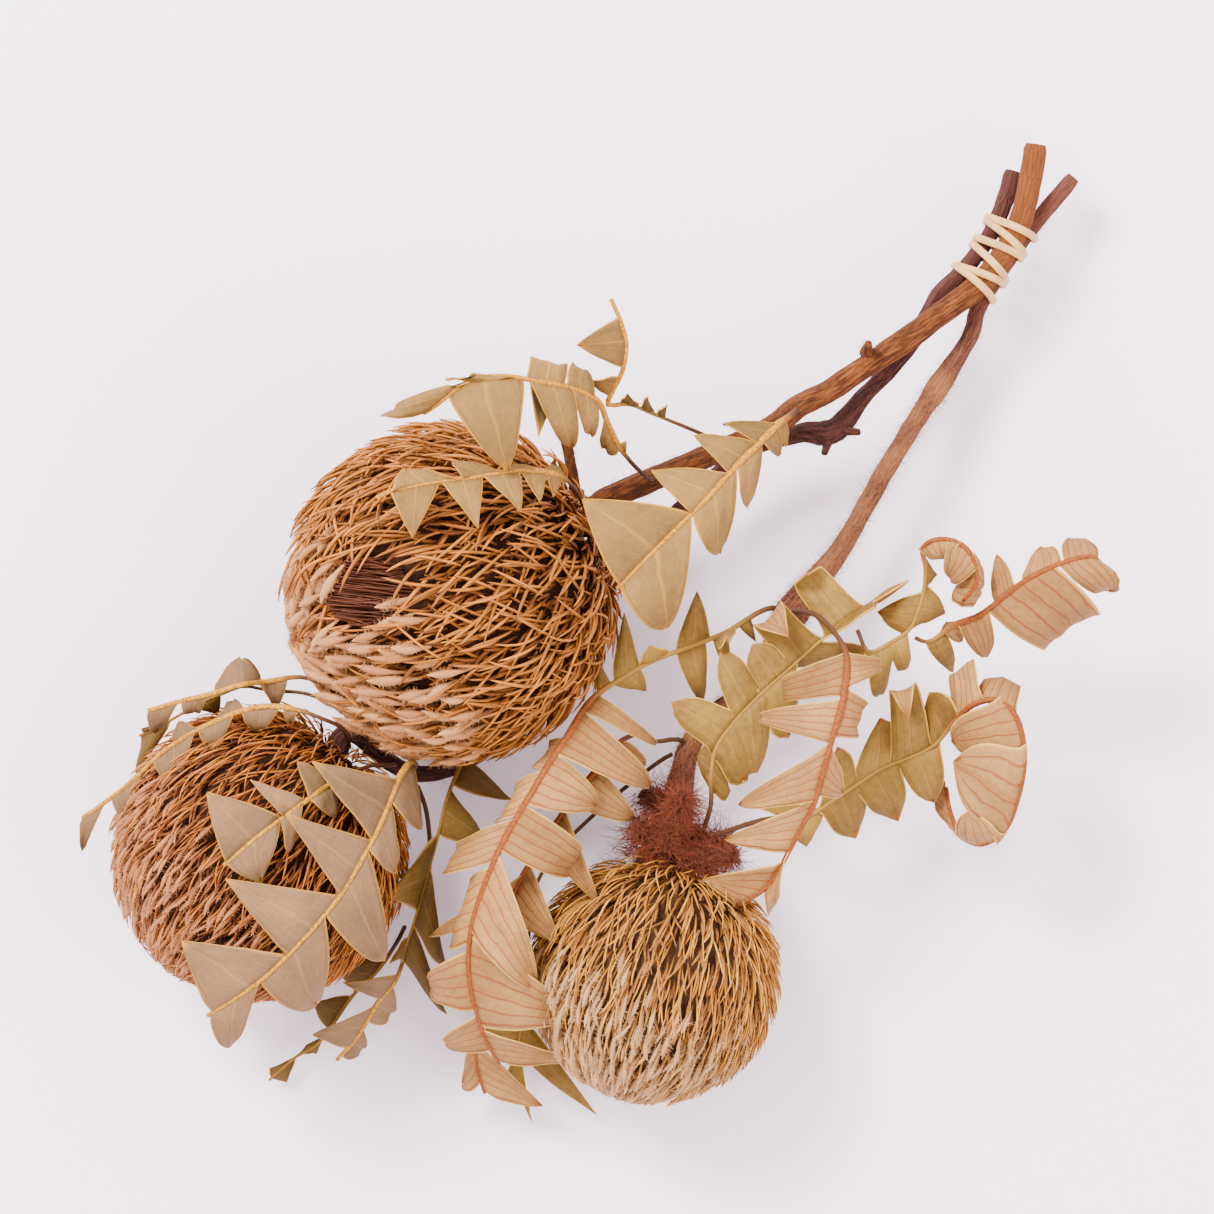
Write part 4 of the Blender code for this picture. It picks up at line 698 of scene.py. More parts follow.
STALK_BROWN = (150, 96, 56)
COLLAR_RUST = (142, 72, 46)
CUT_WOOD = (214, 176, 132)
RUBBER_COLOURS = ((238, 214, 172), (222, 190, 142))
COLLAR_COLOURS = ((132, 56, 32), (190, 104, 64), (204, 142, 110), (200, 122, 80))
# Leaf colours: underside, its dark, upper side, its dark, veins, rib, margin and the rib's dark, then how
# many veins run beside each other and how strong they and the middle one are.
LEAF_COLOURS = {
    "khaki": (((214, 181, 124), (194, 159, 104), (172, 140, 72), (138, 106, 44), (226, 192, 112),
               (232, 194, 98), (232, 194, 104), (206, 150, 62)), 4.0, 0.2, 0.5),
    "greybeige": (((209, 176, 140), (192, 158, 118), (190, 152, 76), (156, 118, 52), (218, 188, 142),
                   (232, 196, 106), (224, 188, 118), (198, 142, 66)), 4.0, 0.16, 0.4),
    "rusty": (((223, 190, 142), (206, 166, 114), (212, 182, 108), (184, 142, 76), (210, 132, 74),
               (210, 142, 84), (236, 210, 142), (182, 108, 58)), 2.6, 0.8, 0.25),
}
MOTTLING = mottling_group()
VEINS = vein_group()


def new_skin(name, roughness, sheen=0.0):
    """A material, its tree and its shader."""
    made = bpy.data.materials.new(name)
    made.use_nodes = True
    shader = made.node_tree.nodes["Principled BSDF"]
    shader.inputs["Roughness"].default_value = roughness
    shader.inputs["Sheen Weight"].default_value = sheen
    shader.inputs["Specular IOR Level"].default_value = SHINE
    return made, made.node_tree, shader


def bump(tree, shader, height, strength, distance):
    made = node(tree, "ShaderNodeBump", Height=height, Strength=strength, Distance=distance)
    feed(tree, shader.inputs["Normal"], made.outputs[0])


def leaf_skin(name, shades, count, lines, middle):
    """Underside and upper side with veins, specks, a pale margin line and the rib."""
    made, tree, shader = new_skin(name, 0.62)
    under, under_dark, upper, upper_dark, vein, rib, margin, rib_dark = (srgb(*shade) for shade in shades)
    mottle = use(tree, MOTTLING, Scale=70.0, Contrast=0.55)
    veins = use(tree, VEINS, Count=count, Width=0.13)
    tint = attribute(tree, "vary")
    below = mixed(tree, mottle.outputs["Share"], under, under_dark)
    below = mixed(tree, times(tree, veins.outputs["Lines"], lines), below, vein)
    below = mixed(tree, times(tree, veins.outputs["Middle"], middle), below, vein)
    above = mixed(tree, mottle.outputs["Share"], upper, upper_dark)
    above = mixed(tree, times(tree, veins.outputs["Middle"], 0.2), above, under)
    skin = mixed(tree, attribute(tree, "side"), above, below)
    skin = mixed(tree, times(tree, tint, 0.35), skin, under_dark, "MULTIPLY")
    rim = ranged(tree, attribute(tree, "edge"), 0.9, 1.0, 0.0, 0.75)
    skin = mixed(tree, rim, skin, margin)
    browned = ranged(tree, attribute(tree, "along"), 0.82, 1.0, 0.0, 0.55)
    skin = mixed(tree, browned, skin, rib)
    place = node(tree, "ShaderNodeTexCoord").outputs["Object"]
    speck = node(tree, "ShaderNodeTexNoise", Vector=place, Scale=1500.0, Detail=2.0).outputs[0]
    spots = ranged(tree, speck, 0.66, 0.74, 0.0, 0.7)
    skin = mixed(tree, spots, skin, rib_dark)
    rib_colour = mixed(tree, ranged(tree, speck, 0.2, 0.8), rib_dark, rib)
    rib_colour = mixed(tree, times(tree, attribute(tree, "upper"), 0.8), rib_colour, upper)
    rib_colour = mixed(tree, attribute(tree, "stalk"), rib_colour, srgb(*STALK_BROWN))
    skin = mixed(tree, attribute(tree, "rib"), skin, rib_colour)
    feed(tree, shader.inputs["Base Color"], skin)
    relief = maths(tree, "ADD", mottle.outputs["Height"], times(tree, veins.outputs["Lines"], 0.8))
    bump(tree, shader, relief, 0.5, 0.0003)
    return made


def strand_skin(name, root, middle, tip, pale, sheen=0.0, tip_from=0.86):
    """Florets, styles and hairs: colour runs from the root to the tip, and each strand differs."""
    made, tree, shader = new_skin(name, 0.55, sheen)
    along = attribute(tree, "along")
    mottle = use(tree, MOTTLING, Scale=260.0, Contrast=0.6)
    skin = mixed(tree, ranged(tree, along, 0.0, 0.45), root, middle)
    skin = mixed(tree, attribute(tree, "tone"), skin, pale)
    skin = mixed(tree, times(tree, mottle.outputs["Share"], 0.35), skin, root)
    skin = mixed(tree, ranged(tree, along, tip_from, 1.0, 0.0, 0.85), skin, tip)
    feed(tree, shader.inputs["Base Color"], skin)
    bump(tree, shader, mottle.outputs["Height"], 0.35, 0.0002)
    return made


def bark_skin(name, dark, light, wool, wool_share):
    """Bark with lengthwise cracks, smooth near the cut end, with pale cut ends and a woolly bloom."""
    made, tree, shader = new_skin(name, 0.85)
    grain = node(tree, "ShaderNodeCombineXYZ", X=attribute(tree, "grain_x"), Y=attribute(tree, "grain_y"),
                 Z=attribute(tree, "grain_z")).outputs[0]
    streaks = node(tree, "ShaderNodeTexNoise", Vector=grain, Scale=1.3, Detail=6.0,
                   Roughness=0.65).outputs[0]
    cracks = node(tree, "ShaderNodeTexVoronoi", {"feature": "DISTANCE_TO_EDGE"}, Vector=grain, Scale=0.9)
    lines = ranged(tree, cracks.outputs["Distance"], 0.0, 0.09, 1.0, 0.0)
    mottle = use(tree, MOTTLING, Scale=90.0, Contrast=0.7)
    skin = mixed(tree, ranged(tree, streaks, 0.35, 0.65), dark, light)
    skin = mixed(tree, times(tree, lines, 0.5), skin, dark)
    skin = mixed(tree, attribute(tree, "bare"), skin, light)
    woolly = times(tree, attribute(tree, "wool"), wool_share)
    skin = mixed(tree, times(tree, mottle.outputs["Share"], woolly), skin, wool)
    skin = mixed(tree, times(tree, attribute(tree, "rust"), 0.92), skin, srgb(*COLLAR_RUST))
    rings = node(tree, "ShaderNodeTexNoise", Vector=grain, Scale=2.5, Detail=3.0)
    wood = mixed(tree, rings.outputs[0], light, srgb(*CUT_WOOD))
    skin = mixed(tree, attribute(tree, "cut"), skin, wood)
    feed(tree, shader.inputs["Base Color"], skin)
    bump(tree, shader, maths(tree, "SUBTRACT", streaks, times(tree, lines, 0.5)), 0.8, 0.0006)
    return made


def core_skin(name, dark, warm):
    """The woody ball under the florets."""
    made, tree, shader = new_skin(name, 0.9)
    mottle = use(tree, MOTTLING, Scale=200.0, Contrast=0.9)
    feed(tree, shader.inputs["Base Color"], mixed(tree, mottle.outputs["Share"], dark, warm))
    bump(tree, shader, mottle.outputs["Height"], 1.0, 0.001)
    return made


def rubber_skin():
    made, tree, shader = new_skin("pale_rubber", 0.5)
    mottle = use(tree, MOTTLING, Scale=180.0, Contrast=0.4)
    pale, dark = (srgb(*shade) for shade in RUBBER_COLOURS)
    feed(tree, shader.inputs["Base Color"], mixed(tree, mottle.outputs["Share"], pale, dark))
    bump(tree, shader, mottle.outputs["Height"], 0.25, 0.0002)
    return made


# Geometry Nodes for what repeats

def named(tree, name, kind="FLOAT_VECTOR"):
    """A value that the mesh carries."""
    return node(tree, "GeometryNodeInputNamedAttribute", {"data_type": kind}, Name=name).outputs["Attribute"]


def vector_step(tree, operation, first, second):
    made = node(tree, "ShaderNodeVectorMath", {"operation": operation})
    feed(tree, made.inputs[0], first)
    feed(tree, made.inputs["Scale"] if operation == "SCALE" else made.inputs[1], second)
    return made.outputs[0]


def nodes_tree(name, inputs):
    """An empty tree that changes a mesh, with its named inputs."""
    shape = ("Geometry", "NodeSocketGeometry")
    return group(name, [(*shape, None)] + inputs, [shape], "GeometryNodeTree")


def strands_tree(name, outline):
    """Bent strands on points: root + reach t + droop t2 + sway t3, as thick along t as the outline says."""
    tree, given, result = nodes_tree(name, [
        ("Segments", WHOLE, 7), ("Sides", WHOLE, 4), ("Material", SKIN, None)])
    line = node(tree, "GeometryNodeCurvePrimitiveLine")
    cut = node(tree, "GeometryNodeResampleCurve", Curve=line.outputs[0], Count=given.outputs["Segments"])
    spread = node(tree, "GeometryNodeInstanceOnPoints", Points=given.outputs["Geometry"],
                  Instance=cut.outputs[0])
    real = node(tree, "GeometryNodeRealizeInstances", Geometry=spread.outputs[0])
    share = node(tree, "GeometryNodeSplineParameter").outputs["Factor"]
    square = times(tree, share, share)
    cube = times(tree, square, share)
    place = named(tree, "root")
    for key, power in (("reach", share), ("droop", square), ("sway", cube)):
        place = vector_step(tree, "ADD", place, vector_step(tree, "SCALE", named(tree, key), power))
    bend = node(tree, "GeometryNodeSetPosition", Geometry=real.outputs[0], Position=place)
    swell = node(tree, "ShaderNodeFloatCurve", Value=share)
    curve = swell.mapping.curves[0]
    for x, y in outline[1:-1]:
        curve.points.new(x, y)
    curve.points[0].location = outline[0]
    curve.points[-1].location = outline[-1]
    swell.mapping.update()
    thick = times(tree, swell.outputs[0], named(tree, "thick", "FLOAT"))
    keep = node(tree, "GeometryNodeStoreNamedAttribute", Geometry=bend.outputs[0], Name="along", Value=share)
    width = node(tree, "GeometryNodeSetCurveRadius", Curve=keep.outputs[0], Radius=thick)
    circle = node(tree, "GeometryNodeCurvePrimitiveCircle", Resolution=given.outputs["Sides"], Radius=1.0)
    skin = node(tree, "GeometryNodeCurveToMesh", Curve=width.outputs[0], Profile_Curve=circle.outputs[0],
                Fill_Caps=True)
    if "Scale" in skin.inputs:
        feed(tree, skin.inputs["Scale"], thick)
    round_off = node(tree, "GeometryNodeSetShadeSmooth", Geometry=skin.outputs[0])
    finish_tree(tree, round_off.outputs[0], given, result)
    return tree


def finish_tree(tree, shape, given, result):
    """Makes the shape real, gives it the material and hands it out."""
    real = node(tree, "GeometryNodeRealizeInstances", Geometry=shape)
    paint = node(tree, "GeometryNodeSetMaterial", Geometry=real.outputs[0],
                 Material=given.outputs["Material"])
    feed(tree, result.inputs[0], paint.outputs[0])


def fuzz_tree():
    """Short pointed hairs all over a surface, more where its value wool is high."""
    tree, given, result = nodes_tree("fuzz", [
        ("Density", NUMBER, 1e5), ("Length", NUMBER, 0.002), ("Width", NUMBER, 0.00008),
        ("Spread", NUMBER, 0.9), ("Seed", WHOLE, 1), ("Material", SKIN, None)])
    asked = given.outputs
    density = times(tree, asked["Density"], named(tree, "wool", "FLOAT"))
    spots = node(tree, "GeometryNodeDistributePointsOnFaces", Mesh=asked["Geometry"], Density=density,
                 Seed=asked["Seed"])
    hair = node(tree, "GeometryNodeMeshCone", Vertices=3, Radius_Top=0.0, Radius_Bottom=asked["Width"],
                Depth=asked["Length"])
    tilt = node(tree, "FunctionNodeRandomValue", {"data_type": "FLOAT_VECTOR"}, Seed=asked["Seed"])
    feed(tree, tilt.inputs[0], times(tree, asked["Spread"], -1.0))
    feed(tree, tilt.inputs[1], asked["Spread"])
    euler = node(tree, "FunctionNodeEulerToRotation", Euler=tilt.outputs[0])
    turn = node(tree, "FunctionNodeRotateRotation", {"rotation_space": "LOCAL"})
    feed(tree, turn.inputs[0], spots.outputs["Rotation"])
    feed(tree, turn.inputs[1], euler.outputs[0])
    sizes = node(tree, "FunctionNodeRandomValue", {"data_type": "FLOAT"}, Seed=asked["Seed"])
    sizes.inputs[2].default_value, sizes.inputs[3].default_value = HAIR_SIZES
    spread = node(tree, "GeometryNodeInstanceOnPoints", Points=spots.outputs["Points"],
                  Instance=hair.outputs["Mesh"], Rotation=turn.outputs[0], Scale=sizes.outputs[1])
    finish_tree(tree, spread.outputs[0], given, result)
    return tree


WIRE_TREE = strands_tree("wiry_styles", [(0.0, 0.75), (0.35, 1.0), (0.8, 0.85), (1.0, 0.25)])
LIMB_TREE = strands_tree("woolly_limbs", [(0.0, 0.3), (0.3, 0.5), (0.62, 1.0), (0.85, 0.7), (1.0, 0.12)])
HAIR_TREE = strands_tree("long_wool", [(0.0, 1.0), (0.5, 0.7), (0.9, 0.4), (1.0, 0.2)])
TREES = {"wire": WIRE_TREE, "limb": LIMB_TREE}
FUZZ_TREE = fuzz_tree()


def evaluated_piece(name, source, tree, values):
    """What a tree makes of a mesh object, as a plain mesh object at the origin."""
    modifier = source.modifiers.new("grow", "NODES")
    modifier.node_group = tree
    for item in tree.interface.items_tree:
        if item.item_type == "SOCKET" and item.in_out == "INPUT" and item.name in values:
            modifier[item.identifier] = values[item.name]
    bpy.context.view_layer.update()
    graph = bpy.context.evaluated_depsgraph_get()
    mesh = bpy.data.meshes.new_from_object(source.evaluated_get(graph))
    source.modifiers.remove(modifier)
    for layer in list(mesh.attributes):
        if layer.name in ("root", "reach", "droop", "sway", "thick"):
            mesh.attributes.remove(layer)
    mesh.name = name
    return linked(name, mesh)


def strands(name, tree, skin, roots, reach, droop, sway, thick, tone, segments, sides):
    """Strands grown from plan points."""
    mesh = bpy.data.meshes.new(name + "_roots")
    place = placed(roots)
    mesh.from_pydata([tuple(p) for p in place], [], [])
    for key, rows in (("root", place), ("reach", turned(reach)), ("droop", turned(droop)),
                      ("sway", turned(sway))):
        mesh.attributes.new(key, "FLOAT_VECTOR", "POINT").data.foreach_set(
            "vector", np.asarray(rows, np.float32).ravel())
    for key, rows in (("thick", np.asarray(thick) * MM), ("tone", tone)):
        mesh.attributes.new(key, "FLOAT", "POINT").data.foreach_set(
            "value", np.broadcast_to(np.asarray(rows, np.float32), (len(roots),)).copy())
    source = linked(name + "_roots", mesh)
    made = evaluated_piece(name, source, tree, {"Segments": segments, "Sides": sides, "Material": skin})
    bpy.data.objects.remove(source)
    return made


def fuzz(name, source, skin, density, length, width, spread, seed):
    """Short hairs on a piece. Density is per square millimetre."""
    return evaluated_piece(name, source, FUZZ_TREE, {
        "Density": density * 1e6, "Length": length * MM, "Width": width * MM, "Spread": spread,
        "Seed": seed, "Material": skin})


# Stems

def core_middle(head):
    x, y = head["middle"]
    return plan(x, y, head["core"] - 0.4)


def stem_path(name):
    head_name, readings = STEMS[name]
    head = HEADS[head_name]
    rows = [[*plan(x, y, z), r] for x, y, z, r in readings]
    middle = core_middle(head)
    inward = unit(np.array(rows[-1][:3]) - middle)
    rows[-2][:3] = middle + inward * (head["core"] + STRAIGHT_END)
    rows[-1][:3] = middle + inward * (head["core"] + END_GAP)
    path = smooth_path(rows)
    far = np.linalg.norm(path[:, :3] - middle, axis=1)
    keep = len(path)
    while far[keep - 2] < head["core"] + END_GAP:
        keep -= 1
    return path[:keep]


def rough_tube(shape, path, radii, sides, roughness, seed, wool, cut_start=0.0, rust=0.0, bare=0.0):
    """A tube with cracked bark: plan points pushed in and out by noise, with grain values."""
    across, up = frames(path)
    run = distance_along(path)
    rings = len(path)
    points, grain = [], []
    for i in range(rings):
        for k in range(sides):
            angle = 2 * math.pi * k / sides
            cos, sin = math.cos(angle), math.sin(angle)
            place = Vector((cos * 1.6, sin * 1.6, run[i] * 0.07 + seed))
            swell = noise.noise(place) * 0.10 + noise.noise(place * 3.1) * 0.07
            knobs = noise.noise(Vector((cos * 0.7, sin * 0.7, run[i] * 0.3 + seed))) * 0.06
            radius = radii[i] * (1 + roughness * (swell + knobs))
            points.append(path[i, :3] + radius * (cos * across[i] + sin * up[i]))
            grain.append((cos * radii[i], sin * radii[i], run[i] * 0.16 + seed))
    grain = np.array(grain)
    wool, rust, bare = (np.repeat(np.broadcast_to(np.asarray(v, float), (rings,)), sides)
                        for v in (wool, rust, bare))
    shape.add(points, tube_faces(rings, sides), grain_x=grain[:, 0], grain_y=grain[:, 1],
              grain_z=grain[:, 2], wool=wool, rust=rust, bare=bare)
    for ring, cut in ((0, cut_start), (rings - 1, 0.0)):
        rim = np.array(points[ring * sides:(ring + 1) * sides])
        middle = rim.mean(axis=0)
        disc = np.vstack([rim, middle + (rim - middle) * 0.96, [middle]])
        inner = [(k, (k + 1) % sides, sides + (k + 1) % sides, sides + k) for k in range(sides)]
        inner += [(sides + k, sides + (k + 1) % sides, 2 * sides) for k in range(sides)]
        marks = np.concatenate([np.zeros(sides), np.full(sides + 1, cut)])
        flat = np.vstack([grain[ring * sides:(ring + 1) * sides]] * 2 + [[0, 0, grain[ring * sides, 2]]])
        shape.add(disc, inner, cut=marks, grain_x=flat[:, 0], grain_y=flat[:, 1], grain_z=flat[:, 2])


def stem_wool(name, path):
    """How woolly a stem is along its length."""
    run = distance_along(path) / distance_along(path)[-1]
    if name == "stem_right":
        return np.interp(run, [0, 0.27, 0.31, 0.5, 0.6, 0.75, 0.9, 1],
                         [0, 0.1, 1.0, 0.8, 1.0, 0.8, 1.0, 1.0])
    if name == "stem_left":
        return np.interp(run, [0, 0.25, 0.32, 0.38, 0.45, 1], [0, 0, 0.7, 0.9, 0.3, 0.5])
    return np.interp(run, [0, 0.5, 0.62, 0.8, 1], [0, 0, 0.5, 0.7, 1.0])


BARKS = {
    "stem_top": (srgb(122, 66, 36), srgb(196, 132, 78), srgb(150, 96, 66), 0.5),
    "stem_left": (srgb(92, 44, 38), srgb(162, 98, 84), srgb(146, 88, 66), 0.5),
    "stem_right": (srgb(128, 72, 54), srgb(184, 122, 100), srgb(212, 164, 122), 0.85),
}
WOOL = {
    "stem_top": (srgb(132, 84, 60), 2.2, 1.1),
    "stem_left": (srgb(150, 96, 78), 2.2, 0.9),
    "stem_right": (srgb(208, 162, 124), 3.0, 1.9),
}


def make_stem(name):
    path = respaced(stem_path(name), STEM_STEP)
    run = distance_along(path)
    left = run[-1] - run
    rough = 1.35 if name == "stem_left" else 1.0
    rust = np.clip((RUST_END - left) / RUST_FADE, 0, 1) if name == "stem_right" else 0.0
    worn = path[:, 3] * (1 - END_WORN * np.exp(-run / END_ROUND))
    bare = BARE_SHARE * np.clip((BARE_END - run) / BARE_FADE, 0, 1)
    shape = Shape()
    rough_tube(shape, path, worn, STEM_SIDES, rough, len(name) * 3.7, stem_wool(name, path), 1.0, rust, bare)
    for owner, foot, tip, wide, narrow in STUBS:
        if owner == name:
            ends = respaced(np.array([plan(*foot), plan(*tip)]), 1.2)
            rough_tube(shape, ends, np.linspace(wide, narrow, len(ends)), STUB_SIDES, 1.3, wide * 9.1, 0.8,
                       rust=float(name == "stem_right"))
    piece = shape.piece(name + "_bark", bark_skin(name + "_bark", *BARKS[name]), name + "_skin", name)
    colour, length, density = WOOL[name]
    skin = strand_skin(name + "_wool", colour, colour, colour, colour, sheen=WOOL_SHEEN)
    hairs = fuzz(name + "_wool", piece, skin, density, length, *STEM_HAIR)
    dressed(hairs, name + "_skin")


# Rubber band

def crossing(path, point, normal):
    height = (path[:, :3] - point) @ normal
    spans = [i for i in range(len(height) - 1) if height[i] * height[i + 1] <= 0]
    i = min(spans, key=lambda k: np.linalg.norm(path[k, :3] - point))
    share = height[i] / (height[i] - height[i + 1])
    return path[i] + (path[i + 1] - path[i]) * share


def hull(points):
    """The convex outline of flat points, anticlockwise."""
    points = sorted(map(tuple, points))

    def half(ordered):
        line = []
        for p in ordered:
            while len(line) > 1 and ((line[-1][0] - line[-2][0]) * (p[1] - line[-2][1])
                                     <= (line[-1][1] - line[-2][1]) * (p[0] - line[-2][0])):
                line.pop()
            line.append(p)
        return line[:-1]

    return np.array(half(points) + half(points[::-1]))


def make_band():
    """Flat rubber turns drawn tight round the three stems."""
    paths = [respaced(stem_path(name), 2.0) for name in STEMS]
    shape = Shape()
    along = unit(plan(1030, 205, 20) - plan(985, 272, 20))
    for (x, y), lean in BAND_TURNS:
        point = plan(x, y, 20)
        normal = np.array(Matrix.Rotation(math.radians(lean), 3, "Z") @ Vector(along))
        side = unit(np.cross((0, 0, 1), normal))
        up = np.cross(normal, side)
        ring = []
        for path in paths:
            *middle, radius = crossing(path, point, normal)
            flat = np.array([np.dot(middle - point, side), np.dot(middle - point, up)])
            reach = radius * 1.02 + BAND_RADIUS * 0.75
            for k in range(40):
                angle = 2 * math.pi * k / 40
                ring.append(flat + reach * np.array([math.cos(angle), math.sin(angle)]))
        outline = hull(ring)
        closed = np.vstack([outline, outline[:1]])
        flat = at_share(np.column_stack([closed, np.zeros(len(closed))]), np.arange(BAND_RINGS) / BAND_RINGS)
        for _ in range(3):
            flat = (np.roll(flat, 1, axis=0) + 2 * flat + np.roll(flat, -1, axis=0)) / 4
        middle = flat.mean(axis=0)
        points = []
        for i in range(BAND_RINGS):
            ahead = flat[(i + 1) % BAND_RINGS] - flat[i - 1]
            out = unit([ahead[1], -ahead[0], 0])
            if np.dot(out, flat[i] - middle) < 0:
                out = -out
            for k in range(BAND_SIDES):
                angle = 2 * math.pi * k / BAND_SIDES
                spot = flat[i] + out * BAND_HALF_THICK * math.cos(angle)
                along_stems = normal * BAND_HALF_WIDE * math.sin(angle)
                points.append(point + spot[0] * side + spot[1] * up + along_stems)
        shape.add(points, tube_faces(BAND_RINGS, BAND_SIDES, closed=True))
    shape.piece("band_turns", rubber_skin(), "band_skin", "band")


# Leaves

def rib_path(name):
    rib = smooth_path([[*plan(x, y, z), turn] for x, y, z, turn in LEAVES[name][0]])
    if name in LEAF_STEMS:
        bearer = stem_path(LEAF_STEMS[name])
        thick = RIB_RADII.get(name, RIB_USUAL)[0]
        while len(rib) > 10:
            away = np.linalg.norm(bearer[:, :3] - rib[0, :3], axis=1) - bearer[:, 3]
            if away.min() > thick - STALK_SUNK:
                break
            rib = rib[1:]
    return rib


def rib_share(rib, x, y):
    run = distance_along(rib)
    near = np.argmin(np.hypot(*(rib[:, :2] - plan(x, y, 0)[:2]).T))
    return run[near] / run[-1]


def lobe_line(middle, reach, arch, roll, tail, rows, bend_step):
    """The line of a lobe from its base to its tip: a bowed stretch, then a curl and a straight tail."""
    across = reach - middle
    level = unit([across[0], across[1], 0])
    slope = math.atan2(across[2], np.hypot(across[0], across[1]))
    bow = math.radians(arch)
    length = np.linalg.norm(across) * (bow / math.sin(bow) if bow else 1)
    angles = [slope + bow * (1 - 2 * (k + 0.5) / rows) for k in range(rows)]
    steps = [length / rows] * rows
    if roll:
        bends = max(1, int(abs(roll) / bend_step))
        angles += [slope - bow - math.radians(roll) * (k + 0.5) / bends for k in range(bends)]
        steps += [CURL_RADIUS * math.radians(abs(roll)) / bends] * bends
        if tail:
            angles.append(slope - bow - math.radians(roll))
            steps.append(tail)
    line = [np.zeros(3)]
    for angle, step in zip(angles, steps):
        line.append(line[-1] + step * (math.cos(angle) * level + math.sin(angle) * np.array([0, 0, 1.0])))
    run = np.concatenate([[0], np.cumsum(steps)])
    return middle + np.array(line), run / run[-1]


def lobe_span(rib, lobe, spread):
    """The shares of the rib between which a lobe grows."""
    start, end = sorted((rib_share(rib, *lobe[:2]), rib_share(rib, *lobe[2:4])))
    end = max(end, start + 0.02)
    extra = (end - start) * spread
    return max(start - extra, 0.0), min(end + extra, 1.0)


def lobe_curl(lobe):
    return lobe[8:] if len(lobe) > 8 else (0, 0)


def lobe_shape(name, lobe):
    """A lobe's bluntness and spread. A lobe that curls right round is a broad strip."""
    bluntness, spread = LOBE_SHAPES.get(name, LOBE_USUAL)
    if abs(lobe_curl(lobe)[0]) >= 100:
        bluntness = max(bluntness, CURLED_BLUNT)
    return bluntness, spread


def add_lobe(shape, name, rib, lobe, vary):
    """One lobe as a thin closed blade with wavy, slightly rolled margins."""
    height, arch = lobe[6:8]
    bluntness, spread = lobe_shape(name, lobe)
    start, end = lobe_span(rib, lobe, spread)
    wide = (end - start) * distance_along(rib)[-1]
    half = max(2, min(5, int(wide / 4)))
    columns = 2 * half + 1
    base = at_share(rib, np.linspace(start, end, columns))
    turn = base[half, 3]
    base = base[:, :3]
    middle = base.mean(axis=0)
    tip = plan(*lobe[4:6], height)
    rows = max(7, min(14, int(np.linalg.norm(tip - middle) / 2)))
    line, shares = lobe_line(middle, tip, arch, *lobe_curl(lobe), rows, CURL_STEP)
    across = np.linspace(-1, 1, columns)
    points, values = [], []
    for spot, share in zip(line, shares):
        flare = 1 + LOBE_FLARES.get(name, 0.0) * math.exp(-share / 0.14)
        width = max(1 - share ** bluntness, 0.015) * flare
        points.append(spot + (base - middle) * width)
        values.append(np.column_stack([across, np.full(columns, share)]))
    grid = np.array(points)
    normals = grid_normals(grid)
    shown_under = 1.0 if turn >= 90 else 0.0
    roll_up = 1.0 if shown_under else -1.0
    share = shares[:, None]
    margin = np.abs(across)[None, :] ** 5 * np.minimum(1, share * 6) * (1 - share ** 4)
    ripple = np.array([[noise.noise(Vector((a * 1.7 + vary * 40, t * 3.0, vary * 17))) for a in across]
                       for t in shares])
    relief = roll_up * margin * MARGIN_ROLL + ripple * BLADE_RIPPLE * np.minimum(1, share * 4)
    flat = (grid + normals * relief[:, :, None]).reshape(-1, 3)
    flat_normals = normals.reshape(-1, 3)
    count = len(flat)
    both = np.vstack([flat + flat_normals * BLADE / 2, flat - flat_normals * BLADE / 2])
    values = np.vstack(values + values)
    side = np.concatenate([np.full(count, shown_under), np.full(count, 1 - shown_under)])
    edge = np.maximum(np.abs(values[:, 0]), np.interp(values[:, 1], [0, 0.96, 1], [0, 0.9, 1]))
    shape.add(both, blade_faces(len(shares), columns), across=values[:, 0], along=values[:, 1], side=side,
              edge=edge, vary=vary)


def grid_normals(grid):
    """The upward direction across a blade at each of its points."""
    half = grid.shape[1] // 2
    down = np.cross(grid[1, half] - grid[0, half], grid[0, -1] - grid[0, 0])
    facing = -1.0 if down[2] > 0 else 1.0
    normals = np.cross(np.gradient(grid, axis=0), np.gradient(grid, axis=1)) * -facing
    normals = -normals / np.maximum(np.linalg.norm(normals, axis=2), 1e-9)[:, :, None]
    return -normals if normals[1, half, 2] < 0 else normals


def blade_faces(rows, columns):
    """The two skins of a blade and the edge between them."""
    count = rows * columns
    faces = []
    for i in range(rows - 1):
        for k in range(columns - 1):
            a = i * columns + k
            quad = (a, a + 1, a + columns + 1, a + columns)
            faces += [quad, tuple(v + count for v in reversed(quad))]
    rim = list(range(columns)) + [i * columns + columns - 1 for i in range(1, rows)]
    rim += [(rows - 1) * columns + k for k in range(columns - 2, -1, -1)]
    rim += [i * columns for i in range(rows - 2, 0, -1)]
    for a, b in zip(rim, rim[1:] + rim[:1]):
        faces.append((b, a, a + count, b + count))
    return faces


